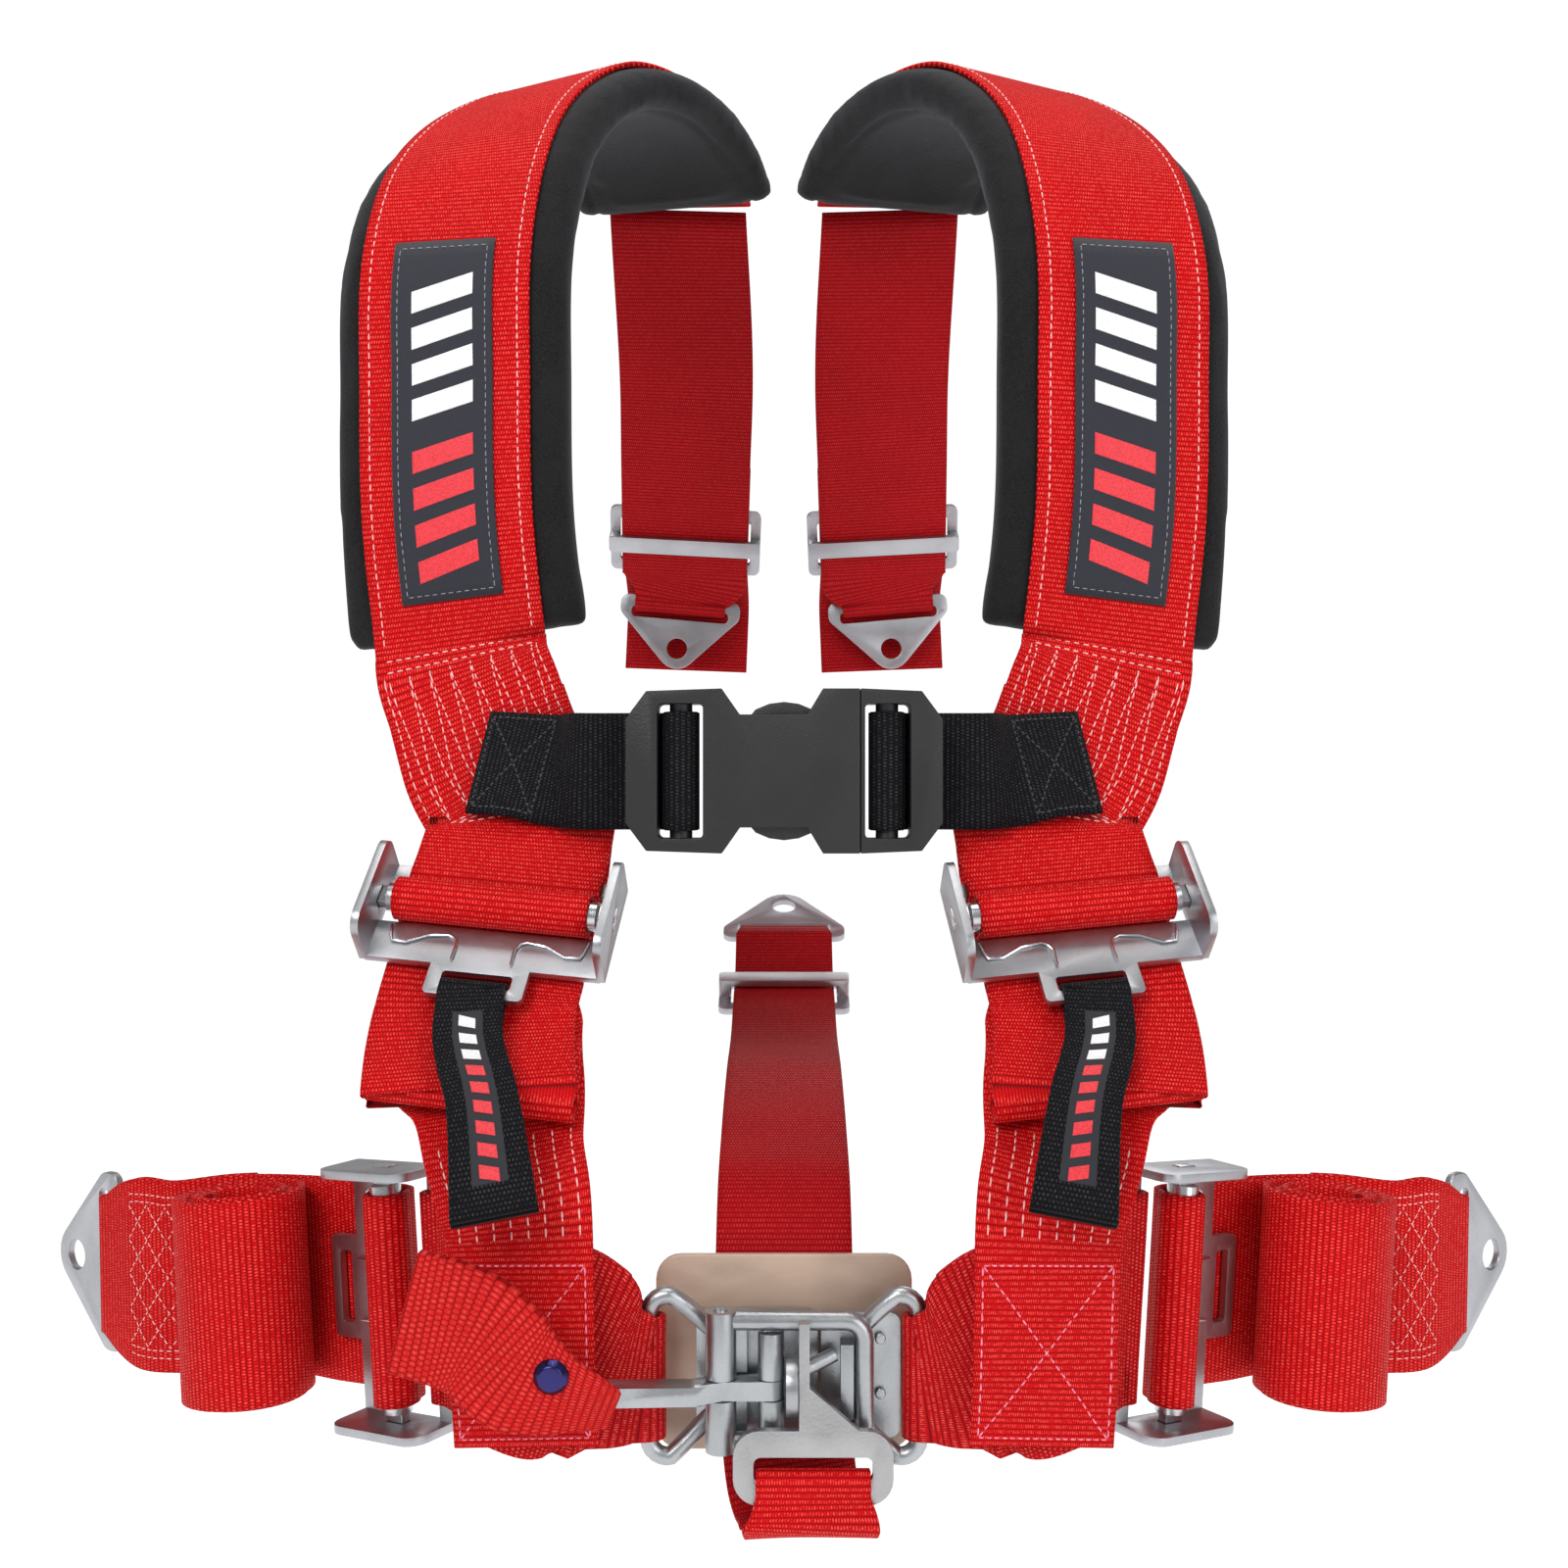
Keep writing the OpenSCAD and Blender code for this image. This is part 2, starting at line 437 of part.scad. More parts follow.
// ---- crotch strap: the tongue hooks over the peg, and the strap folds through its slot ----
tongue_y = -15.8;
tongue_t = 3.5;
tongue_x = 10;
tongue_half = 27.5;
tongue_slot = crotch_w - 9;
slot_top = -22.5;
slot_bottom = -31;
tongue_low = -39;
module crotch_tongue() {
  stem_x = disc_x + disc_t + gap;
  difference() {
    plate(round_outline([[tongue_x - tongue_half + 9, tongue_low + 9, 9], [tongue_x + tongue_half - 9, tongue_low + 9, 9],
                         [tongue_x + tongue_half - 9, slot_top, 9], [tongue_x - tongue_half + 9, slot_top, 9]]), tongue_y, tongue_t);
    plate(round_box(tongue_x - tongue_slot / 2, slot_bottom, tongue_x + tongue_slot / 2, slot_top, 2.5), tongue_y - 1, tongue_t + 2);
  }
  plate([[stem_x, slot_top], [stem_x + 24, slot_top + 6], [stem_x + 2, slot_top + 25], [stem_x, slot_top + 25]], tongue_y, tongue_t);
  side_plate([[tongue_y, slot_top + 6], [tongue_y + tongue_t, slot_top + 6], [tongue_y + tongue_t + 0.5, 9.5], [-5, 9.5],
              [-5, 16], [tongue_y + 6, 17], [tongue_y + 5, 23], [tongue_y, 23]], stem_x, 3.6);
}
crotch_gather = tongue_slot - 1.5;
fold_r = tongue_t / 2 + gap + web_t / 2;
module crotch_loop() {
  f = latch_at;
  y = tongue_y + tongue_t / 2;
  webbing(concat(smooth([spot(f, [tongue_x - 2, y + 9, -50.5], crotch_w - 4), spot(f, [tongue_x - 1, y + 3, -50.5], crotch_w - 4),
                         spot(f, [tongue_x, y - fold_r + 0.3, -46], crotch_w - 4), spot(f, [tongue_x, y - fold_r, -36], crotch_gather)], 3),
                 arc(f, tongue_x, y, slot_bottom - 0.6, fold_r, 180, 0, 6, crotch_gather), [spot(f, [tongue_x, y + fold_r, -39.5], crotch_gather)]));
}
crotch_bolt_at = frame([0, 120, -384], 117, 0, 0);
crotch_slide_at = frame([0, 52, -416], 109, 0, 0);
crotch_narrow = crotch_w - 4;
module crotch_webbing() {
  k = crotch_bolt_at;
  c = crotch_slide_at;
  y = plate_t / 2;
  webbing(concat(
    [spot(c, [0, -layer, 34], crotch_w), spot(c, [0, -layer, 0], crotch_w)],
    smooth([spot(c, [0, -layer, -20], crotch_w), spot(k, [0, y - bracket_r, bracket_mid + 5], crotch_narrow)], 2),
    bracket_turn(k, 180, 0, crotch_narrow),
    smooth([spot(k, [0, y + bracket_r, bracket_mid + 7], crotch_w), spot(c, [0, 0, -18], crotch_w), spot(c, [0, 0, 20], crotch_w),
            spot(c, [0, 0, 48], crotch_w), station([0, -60, -440], [1, 0, 0], crotch_w), station([0, -120, -454], [1, 0, 0], crotch_w),
            station([0, -160, -470], [1, 0, 0], crotch_w), station([0, -176, -490], [1, 0, 0], crotch_w), station([0, -178.4, -520], [1, 0, 0], crotch_w),
            station([1, -178.6, -548], [1, 0, 0], crotch_w - 2), station([3, -184, -566], [1, 0, 0], crotch_w - 3),
            station([6, -194, -573], [1, 0, 0], crotch_w - 4), station([7, -200, -573.5], [1, 0, 0], crotch_w - 4)], 3)));
}

// ---- sternum strap and its buckle: origin in the middle of the buckle ----
buckle_at = frame([0, -136.5, -310], 0, 0, 0);
half_l = buckle_l / 2;
half_h = buckle_h / 2;
half_t = buckle_t / 2;
waist = half_h - 10;
seam_x = half_l * 0.48;
cavity_h = half_h - 4.5;
cavity_t = half_t - 2.6;
post_r = 4.4;
post_x = half_l - 21;
slot_half = 8.8;
slot_z = sternum_w / 2 + 3;
post_wrap = post_r + gap + web_t / 2;
module buckle_slot(x) { plate(round_box(x - slot_half, -slot_z, x + slot_half, slot_z, 2), -half_t - 1, buckle_t + 2); }
module post(x) { translate([x, 0, -slot_z - 1]) cylinder(r = post_r, h = 2 * slot_z + 2); }
module buckle_female() {
  top = [[-half_l, 20], [-half_l + 8, half_h - 1], [-24, half_h], [-17, waist], [9, waist], [15, half_h], [seam_x, half_h]];
  difference() {
    plate(concat(top, [for (i = [len(top) - 1:-1:0]) [top[i].x, -top[i].y]]), -half_t, buckle_t);
    translate([-23, -cavity_t, -cavity_h]) cube([seam_x + 25, 2 * cavity_t, 2 * cavity_h]);
    buckle_slot(-post_x);
  }
  post(-post_x);
}
module buckle_male() {
  x = seam_x + gap;
  difference() {
    plate([[x, -half_h], [half_l - 8, -half_h + 1], [half_l, -20], [half_l, 20], [half_l - 8, half_h - 1], [x, half_h]], -half_t, buckle_t);
    buckle_slot(post_x);
  }
  post(post_x);
  translate([-14, -cavity_t + gap, -7]) cube([x + 15, 2 * (cavity_t - gap), 14]);
}
module prong() {
  z = cavity_h - 0.5;
  bulge = [for (a = [60:15:120]) [0 + 22 * cos(a), z - 22 + 22 * sin(a)]];
  plate(concat([[seam_x - gap, z - 8], [seam_x - gap, z - 3]], bulge, [[-16, z - 9], [-16, z - 13], [0, z - 8]]), -cavity_t + gap, 2 * (cavity_t - gap));
}
module sternum_strap(left) {
  x = buckle_at[0].x + post_x;
  y = buckle_at[0].y;
  z = buckle_at[0].z;
  near = half_t + gap + web_t / 2;
  up = [0, 0, 1];
  lean = unit([0.1, 0.45, 0.9]);
  function at_post(a) = station([x + post_wrap * cos(a), y + post_wrap * sin(a), z], up, sternum_w);
  webbing(concat(
    smooth([station([124, -106.5, z + 4], lean, sternum_w), station([108, -111, z + 3], lean, sternum_w), station([93, -116, z + 1], unit([0.05, 0.3, 0.95]), sternum_w),
            station([80, y + near - 0.6, z], up, sternum_w), station([x + 22, y + near, z], up, sternum_w), station([x + 9, y + near, z], up, sternum_w)], 3),
    [station([x + 6, y + half_t + 0.3, z], up, sternum_w), station([x + 5, y + half_t - 3, z], up, sternum_w)], [for (a = [25:-25:-205]) at_post(a)],
    smooth([station([x - 3.4, y + half_t - 2.5, z], up, sternum_w), station([x + 0.5, y + near + 1.2, z], up, sternum_w), station([x + 8, y + near + layer, z], up, sternum_w),
            station([x + 22, y + near + layer, z], up, sternum_w), station([x + 32, y + near + layer, z], up, sternum_w)], 2)));
}

for (left = [true, false]) let (side = left ? "_left" : "_right") {
  both(left) color(BLACK) shoulder_pad();
  both(left) color(RED) shoulder_webbing();
  both(left) color(BLACK) pad_label();
  both(left) color(RED) rear_webbing();
  both(left) color(STEEL) seat(rear_slide_at) three_bar_slide(belt_w, rear_slide_h, 2);
  both(left) color(STEEL) seat(rear_bolt_at) bolt_plate(rear_gather);
  both(left) color(STEEL) seat(shoulder_at) adjuster_frame();
  both(left) color(STEEL) seat(shoulder_at) adjuster_bar();
  both(left) color(STEEL) seat(shoulder_at) adjuster_springs();
  both(left) color(BLACK) pull_tab();
  both(left) color(RED) link_webbing();
  both(left) color(STEEL) seat(lap_at) adjuster_frame();
  both(left) color(STEEL) seat(lap_at) adjuster_bar();
  both(left) color(STEEL) seat(lap_at) adjuster_springs();
  both(left) color(RED) lap_webbing_inner();
  both(left) color(RED) lap_webbing_outer();
  both(left) color(RED) lap_roll();
  both(left) color(STEEL) seat(lap_bolt_at) bolt_plate(lap_gather);
  both(left) color(BLACK) sternum_strap();
}
color(STEEL) seat(latch_at) latch_base();
color(STEEL) seat(latch_at) latch_pivot_pin();
color(STEEL) seat(latch_at) latch_lever();
color(STEEL) seat(latch_at) latch_bail();
color(STEEL) seat(latch_at) bail_pin();
color(STEEL) seat(latch_at) link_plate();
color(STEEL) seat(latch_at) link_plate_studs();
color(STEEL) seat(latch_at) link_peg();
color(RED) seat(latch_at) lever_tab();
color("#22264a") seat(latch_at) lever_tab_rivet();
color("tan") seat(latch_at) latch_pad();
color(STEEL) seat(latch_at) crotch_tongue();
color(RED) crotch_loop();
color(RED) crotch_webbing();
color(STEEL) seat(crotch_slide_at) mirror([0, 1, 0]) three_bar_slide(crotch_w, crotch_slide_h, 2);  // crotch_slide
color(STEEL) seat(crotch_bolt_at) bolt_plate(crotch_narrow);  // crotch_bolt_plate
color(PLASTIC) seat(buckle_at) buckle_female();
color(PLASTIC) seat(buckle_at) buckle_male();
color(PLASTIC) seat(buckle_at) prong();  // buckle_prong_upper
color(PLASTIC) seat(buckle_at) mirror([0, 0, 1]) prong();  // buckle_prong_lower
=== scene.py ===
# Racing harness: webbing, stitching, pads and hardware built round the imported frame.
import json
import math
import random

import bmesh
import bpy
import numpy as np
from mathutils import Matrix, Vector


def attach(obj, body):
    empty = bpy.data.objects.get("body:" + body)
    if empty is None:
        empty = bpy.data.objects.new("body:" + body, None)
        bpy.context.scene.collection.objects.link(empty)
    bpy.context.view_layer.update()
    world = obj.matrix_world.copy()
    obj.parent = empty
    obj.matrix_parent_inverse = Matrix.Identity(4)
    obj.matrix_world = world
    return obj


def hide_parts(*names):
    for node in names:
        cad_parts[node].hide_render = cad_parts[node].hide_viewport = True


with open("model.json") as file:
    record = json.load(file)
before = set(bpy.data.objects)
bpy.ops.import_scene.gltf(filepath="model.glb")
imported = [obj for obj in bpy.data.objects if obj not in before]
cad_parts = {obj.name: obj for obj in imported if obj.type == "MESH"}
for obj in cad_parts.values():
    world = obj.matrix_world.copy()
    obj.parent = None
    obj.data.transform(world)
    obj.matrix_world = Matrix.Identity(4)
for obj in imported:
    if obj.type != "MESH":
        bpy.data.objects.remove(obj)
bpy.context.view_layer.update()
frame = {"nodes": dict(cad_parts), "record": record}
bpy.ops.object.select_all(action="DESELECT")
rng = random.Random(7)
nodes = frame["nodes"]
print("frame loaded:", len(nodes), "nodes")


# Shader sockets that add, multiply and shape like numbers
class Wire:
    def __init__(self, graph, socket):
        self.graph, self.socket = graph, socket

    def __add__(self, other):
        return self.graph.maths("ADD", self, other)

    def __sub__(self, other):
        return self.graph.maths("SUBTRACT", self, other)

    def __rsub__(self, other):
        return self.graph.maths("SUBTRACT", other, self)

    def __mul__(self, other):
        return self.graph.maths("MULTIPLY", self, other)

    def __truediv__(self, other):
        return self.graph.maths("DIVIDE", self, other)

    def __pow__(self, other):
        return self.graph.maths("POWER", self, other)

    def __abs__(self):
        return self.graph.maths("ABSOLUTE", self)

    __radd__ = __add__
    __rmul__ = __mul__

    def sine(self):
        return self.graph.maths("SINE", self)

    def floor(self):
        return self.graph.maths("FLOOR", self)

    def ramp(self, low, high):
        return self.graph.node("ShaderNodeMapRange", {"interpolation_type": "SMOOTHSTEP"},
                               {"Value": self, "From Min": low, "From Max": high})


class Graph:
    def __init__(self, name, **constants):
        self.material = bpy.data.materials.new(name)
        self.material.use_nodes = True
        self.tree = self.material.node_tree
        self.tree.nodes.clear()
        self.shader = self.tree.nodes.new("ShaderNodeBsdfPrincipled")
        output = self.tree.nodes.new("ShaderNodeOutputMaterial")
        self.tree.links.new(self.shader.outputs[0], output.inputs["Surface"])
        for key, value in constants.items():
            self.shader.inputs[key.replace("_", " ")].default_value = value

    def put(self, socket, value):
        if isinstance(value, Wire):
            self.tree.links.new(value.socket, socket)
        elif isinstance(value, tuple) and len(value) == 3 and socket.type == "RGBA":
            socket.default_value = (*value, 1)
        else:
            socket.default_value = value

    def node(self, kind, settings=None, values=None, out=0):
        made = self.tree.nodes.new(kind)
        for key, value in (settings or {}).items():
            setattr(made, key, value)
        for key, value in (values or {}).items():
            self.put(made.inputs[key], value)
        return Wire(self, made.outputs[out])

    def maths(self, operation, *values):
        return self.node("ShaderNodeMath", {"operation": operation}, dict(enumerate(values)))

    def mix(self, share, one, two):
        return self.node("ShaderNodeMix", {"data_type": "RGBA"}, {0: share, 6: one, 7: two}, 2)

    def objectPoint(self):
        return self.node("ShaderNodeTexCoord", out=3)

    def noise(self, scale, detail=2.0, point=None, stretch=None):
        point = point or self.objectPoint()
        if stretch:
            point = self.node("ShaderNodeMapping", values={"Vector": point, "Scale": stretch})
        return self.node("ShaderNodeTexNoise", values={"Vector": point, "Scale": scale, "Detail": detail})

    def split(self, uvName):
        uv = self.node("ShaderNodeUVMap", {"uv_map": uvName})
        parts = self.tree.nodes.new("ShaderNodeSeparateXYZ")
        self.tree.links.new(uv.socket, parts.inputs[0])
        return Wire(self, parts.outputs[0]), Wire(self, parts.outputs[1])

    def finish(self, color, roughness, height, strength, distance):
        inputs = self.shader.inputs
        self.put(inputs["Base Color"], color)
        self.put(inputs["Roughness"], roughness)
        bump = self.node("ShaderNodeBump", values={"Height": height, "Strength": strength, "Distance": distance})
        self.tree.links.new(bump.socket, inputs["Normal"])
        return self.material


# Materials
def scaled(color, factor):
    return tuple(min(1, c * factor) for c in color)


def webbingCloth(name, gapShade, body, paintedGlint, rowPitch=2.05, dotPitch=1.15, roughness=0.5, glintShare=0.75,
                 sheenWeight=0.04, sheenTint=(1, 0.3, 0.2)):
    g = Graph(name, Sheen_Weight=sheenWeight, Sheen_Roughness=0.35, Sheen_Tint=(*sheenTint, 1),
              Specular_IOR_Level=0.12)
    across, along = g.split("cloth")  # millimetres across and along the belt
    row = along / rowPitch
    ridge = abs((row * math.pi).sine())
    odd = row.floor() * 0.5
    bead = abs(((across / dotPitch + odd) * math.pi).sine())
    tuft = (ridge * bead) ** 0.8
    grain = g.noise(900, 1.0)
    patch = g.noise(26, 3.0)
    warm = g.mix(patch.ramp(0.3, 0.7) * 0.35, body, scaled(body, 0.72))
    # painted highlight: a lighter colour on the tops of the yarn beads
    lit = (tuft.ramp(0.55, 0.95) * grain.ramp(0.4, 0.6)) * glintShare
    # painted shade: a darker colour in the gaps between the yarns
    color = g.mix(lit, g.mix(tuft.ramp(0.0, 0.4), gapShade, warm), paintedGlint)
    return g.finish(color, roughness + (1 - tuft) * 0.25, tuft + grain * 0.3, 0.55, 0.0005)


def threadCloth(name, color, darker):
    g = Graph(name, Sheen_Weight=0.3)
    twist = g.noise(1400, 1.0)
    return g.finish(g.mix(twist.ramp(0.35, 0.65), color, darker), 0.55, twist, 0.3, 0.0003)


def velourCloth(name, color):
    g = Graph(name, Sheen_Weight=0.18, Sheen_Roughness=0.45, Sheen_Tint=(0.75, 0.78, 0.85, 1), IOR=1.3)
    pile = g.noise(1500, 2.0)
    nap = g.noise(60, 4.0)
    shade = g.mix(nap.ramp(0.3, 0.75), scaled(color, 0.6), scaled(color, 1.5))
    fuzz = g.mix(pile.ramp(0.35, 0.7), shade, scaled(color, 2.4))
    return g.finish(fuzz, 0.9, pile + nap * 0.4, 0.5, 0.0006)


def patchCloth(name, color):
    g = Graph(name, Sheen_Weight=0.15)
    across, along = g.split("cloth")
    twill = abs((((across + along) / 0.9) * math.pi).sine())
    grain = g.noise(800, 2.0)
    shade = g.mix(twill * 0.6 + grain * 0.4, scaled(color, 0.55), scaled(color, 1.7))
    return g.finish(shade, 0.72, twill + grain * 0.4, 0.4, 0.0003)


def satinSteel(name, color, roughness=0.34, wear=0.12, grainScale=420, bump=0.12):
    g = Graph(name, Metallic=1.0)
    cloud = g.noise(38, 5.0)
    grain = g.noise(grainScale, 3.0)
    fleck = g.noise(1600, 2.0)
    shade = g.mix(cloud.ramp(0.35, 0.7), scaled(color, 0.82), color)
    shade = g.mix(fleck.ramp(0.58, 0.75) * 0.5, shade, scaled(color, 1.22))
    return g.finish(shade, roughness + cloud * wear + grain * wear - wear, grain + fleck * 0.6, bump, 0.0004)


def grainedPlastic(name, color):
    g = Graph(name, Specular_IOR_Level=0.5)
    cell = g.node("ShaderNodeTexVoronoi", {"feature": "SMOOTH_F1"}, {"Vector": g.objectPoint(), "Scale": 1400})
    cloud = g.noise(30, 3.0)
    shade = g.mix(cloud.ramp(0.3, 0.7), scaled(color, 0.8), scaled(color, 1.25))
    return g.finish(shade, 0.42 + cloud * 0.12, cell + g.noise(700, 2.0) * 0.5, 0.35, 0.0003)


def smoothLeather(name, color):
    g = Graph(name, Coat_Weight=0.35, Coat_Roughness=0.25)
    cloud = g.noise(24, 4.0, stretch=(1, 1, 2.2))
    pore = g.noise(900, 2.0)
    shade = g.mix(cloud.ramp(0.25, 0.75), scaled(color, 0.78), scaled(color, 1.15))
    return g.finish(g.mix(pore.ramp(0.6, 0.8) * 0.3, shade, scaled(color, 0.6)), 0.38 + cloud * 0.15, pore, 0.15,
                    0.0003)


finishes = {
    "red": webbingCloth("redWebbing", (0.16, 0.0, 0.001), (0.7, 0.001, 0.004), (1.0, 0.12, 0.09)),
    # painted shade: a darker copy of the red webbing, with weaker painted highlights, for the rear and crotch belts
    "shadedRed": webbingCloth("shadedRedWebbing", (0.13, 0.0, 0.002), (0.46, 0.002, 0.006), (0.75, 0.05, 0.05),
                            glintShare=0.45),
    "foldRed": webbingCloth("foldRedWebbing", (0.16, 0.0, 0.002), (0.6, 0.003, 0.006), (1.0, 0.18, 0.14), 1.9, 1.3,
                            glintShare=0.6),
    "flapRed": webbingCloth("flapRedWebbing", (0.22, 0.002, 0.002), (0.66, 0.012, 0.012), (0.9, 0.16, 0.13),
                            2.6, 1.9, glintShare=0.35),
    "black": webbingCloth("blackWebbing", (0.001, 0.001, 0.0015), (0.007, 0.007, 0.009), (0.05, 0.05, 0.056),
                          1.9, 1.25, roughness=0.6, sheenWeight=0.05, sheenTint=(0.7, 0.75, 0.8)),
    "thread": threadCloth("paleThread", (0.95, 0.62, 0.6), (0.9, 0.35, 0.34)),
    "pinkThread": threadCloth("pinkThread", (0.95, 0.3, 0.42), (0.85, 0.12, 0.22)),
    "greyThread": threadCloth("greyThread", (0.35, 0.35, 0.38), (0.2, 0.2, 0.22)),
    "blackThread": threadCloth("blackThread", (0.03, 0.03, 0.033), (0.01, 0.01, 0.012)),
    "whiteFloss": threadCloth("whiteFloss", (0.92, 0.92, 0.92), (0.75, 0.75, 0.76)),
    "redFloss": threadCloth("redFloss", (0.85, 0.03, 0.05), (0.65, 0.01, 0.02)),
    "velour": velourCloth("padVelour", (0.006, 0.006, 0.0065)),
    "patch": patchCloth("patchTwill", (0.01, 0.011, 0.02)),
    "steel": satinSteel("satinZinc", (0.5, 0.51, 0.54), 0.38),
    "cast": satinSteel("castZinc", (0.48, 0.5, 0.52), 0.36, 0.14, bump=0.22),
    "grainy": satinSteel("grainyNickel", (0.5, 0.5, 0.51), 0.42, 0.12, grainScale=900, bump=0.35),
    "bright": satinSteel("brightZinc", (0.72, 0.73, 0.75), 0.24, 0.08, bump=0.08),
    "rivet": satinSteel("darkRivet", (0.045, 0.04, 0.16), 0.22, 0.05, bump=0.05),
    "plastic": grainedPlastic("buckleShell", (0.011, 0.011, 0.012)),
    "leather": smoothLeather("tanPad", (0.47, 0.34, 0.26)),
}
print("materials ready")


# Webbing routes in millimetres, along the same paths as the solids
belts = {"lap": 76, "link": 50, "crotch": 50, "sternum": 46, "tab": 25, "thick": 2.4, "seam": 0.3, "gap": 0.4,
         "padThick": 20, "padWide": 108, "patchWide": 45, "plate": 3.2, "frame": 3.0,
         "bar": 5.6, "rod": 3.2, "gather": 56}
thick, gap = belts["thick"], belts["gap"]
layer = thick + belts["seam"]
fineness = 3  # samples for each one of the solid's


def turn(axis, degrees):
    c, s = cosine(degrees), sine(degrees)
    return np.array({"x": [[1, 0, 0], [0, c, -s], [0, s, c]], "y": [[c, 0, s], [0, 1, 0], [-s, 0, c]],
                     "z": [[c, -s, 0], [s, c, 0], [0, 0, 1]]}[axis])


def seatAt(at, pitch, roll, yaw):
    return np.array(at, float), turn("z", yaw) @ turn("y", roll) @ turn("x", pitch)


def put(seat, point):
    return seat[0] + seat[1] @ np.array(point, float)


def station(point, side, width):
    return np.array([*point, *side, width], float)


def spot(seat, point, width):
    return station(put(seat, point), seat[1][:, 0], width)


def spots(seat, rows):  # rows of x, y, z and width
    return [spot(seat, row[:3], row[3]) for row in rows]


def stations(side, rows):
    return [station(row[:3], side, row[3]) for row in rows]


def cosine(degrees):
    return math.cos(math.radians(degrees))


def sine(degrees):
    return math.sin(math.radians(degrees))


def arc(seat, x, y, z, radius, start, end, count, width):
    count *= fineness
    return [spot(seat, (x, y + radius * cosine(a), z + radius * sine(a)), width)
            for a in (start + (end - start) * k / count for k in range(count + 1))]


def smooth(s, n):
    n *= fineness
    span = [max(np.linalg.norm(s[i + 1][:3] - s[i][:3]), 0.01) for i in range(len(s) - 1)]
    slope = [(s[1] - s[0]) / span[0]]
    for i in range(1, len(s) - 1):
        d, e = span[i - 1], span[i]
        slope.append(((s[i] - s[i - 1]) * e / d + (s[i + 1] - s[i]) * d / e) / (d + e))
    slope.append((s[-1] - s[-2]) / span[-1])
    out = []
    for i in range(len(s) - 1):
        for t in (k / n for k in range(n)):
            out.append((2 * t ** 3 - 3 * t * t + 1) * s[i] + (t ** 3 - 2 * t * t + t) * span[i] * slope[i]
                       + (3 * t * t - 2 * t ** 3) * s[i + 1] + (t ** 3 - t * t) * span[i] * slope[i + 1])
    return out + [s[-1]]


def part(s, first, last):
    return s[first * fineness:last * fineness + 1]


def axes(s):
    s = np.array(s)
    p = s[:, :3]
    heading = np.vstack([p[1:2] - p[:1], p[2:] - p[:-2], p[-1:] - p[-2:-1]])
    heading /= np.linalg.norm(heading, axis=1)[:, None]
    across = s[:, 3:6] - (s[:, 3:6] * heading).sum(1)[:, None] * heading
    across /= np.linalg.norm(across, axis=1)[:, None]
    return p, heading, across, np.cross(across, heading)


def lifted(s, d):
    out = axes(s)[3]
    return [np.concatenate([q[:3] + out[i] * d, q[3:]]) for i, q in enumerate(s)]


def wide(s, w):
    return [np.concatenate([q[:6], [w]]) for q in s]


shoulderSeat = seatAt((111, -148, -362), -42, -5, 6)
lapSeat = seatAt((143, -177, -502), 0, -85.4, 33)
rearSlide = seatAt((60, 222.5, -170), 35, -3, 0)
rearBolt = seatAt((66.5, 246.5, -231), 0, -5, 0)
lapBolt = seatAt((301, -76, -515), 0, -88, 36)
latchSeat = seatAt((0, -198, -523), 0, 0, 0)
crotchBolt = seatAt((0, 120, -384), 117, 0, 0)
crotchSlide = seatAt((0, 52, -416), 109, 0, 0)
buckleSeat = seatAt((0, -136.5, -310), 0, 0, 0)

underside = [(131.5, -66, -254, 12), (136.5, -68, -202, 12), (137.5, -68, -148, 12), (136.5, -65.5, -93, 13),
             (131.5, -56, -64, 16), (123.5, -40, -41, 22), (111, -19, -20, 27), (98, 0, -6.5, 28),
             (86, 20, -1, 26), (74, 48, 0, 22), (64, 76, -6, 16), (58, 100, -16, 10)]
underPad = smooth([station(p[:3], (cosine(p[3]), sine(p[3]), 0), 1) for p in underside], 3)
padPath = wide(lifted(underPad, belts["padThick"] / 2), belts["padWide"])
onPad = wide(lifted(underPad, belts["padThick"] + gap + thick / 2), belts["lap"])
onWebbing = wide(lifted(underPad, belts["padThick"] + 2 * gap + thick + 0.5), belts["patchWide"])

wrapR = belts["bar"] + gap + thick / 2
wrapOut = wrapR + thick / 2
baseY = belts["bar"] + gap + 0.2
baseMid, baseBack = baseY + belts["frame"] / 2, baseY + belts["frame"]
lowerZ = wrapOut * 0.8
slotLow = -lowerZ - 17 - 9.5
fixedZ = wrapOut + thick + 4 + belts["frame"] / 2
fixedR = math.hypot(belts["frame"], belts["frame"]) / 2 + gap + thick / 2
tabLoopR = math.hypot(belts["frame"], 4) / 2 + gap + thick / 2
tabPivot = slotLow - 2
bracketMid = 6.35 + 18 + 3.5
bracketR = math.hypot(belts["plate"], 7) / 2 + gap + thick / 2
plateY = belts["plate"] / 2


def bracketTurn(seat, start, end, width):
    return arc(seat, 0, plateY, bracketMid, bracketR, start, end, 8, width)


def chestRoute():
    w, y = belts["lap"], baseMid - fixedR
    chest = smooth(spots(shoulderSeat, [(0, y, fixedZ, w), (0, y, fixedZ + 12, w), (2, y, fixedZ + 34, w)])
                   + [station((121, -98, -302), (0.99, 0.14, 0), w), station((129, -92.4, -281), (0.982, 0.19, 0), w),
                      station((134.4, -89.6, -266), (0.978, 0.208, 0), w), onPad[0]], 4)
    turned = arc(shoulderSeat, 0, baseMid, fixedZ, fixedR, 0, -180, 6, w)
    inner = lifted(chest, -layer)
    tip = onPad[-1]
    return (part(inner, 8, 15)[::-1] + [spot(shoulderSeat, (0, baseMid + fixedR, fixedZ + 10), w)] + turned
            + part(chest, 1, 23) + onPad[1:] + [station(tip[:3] + (-1, 9, -6), tip[3:6], w)])


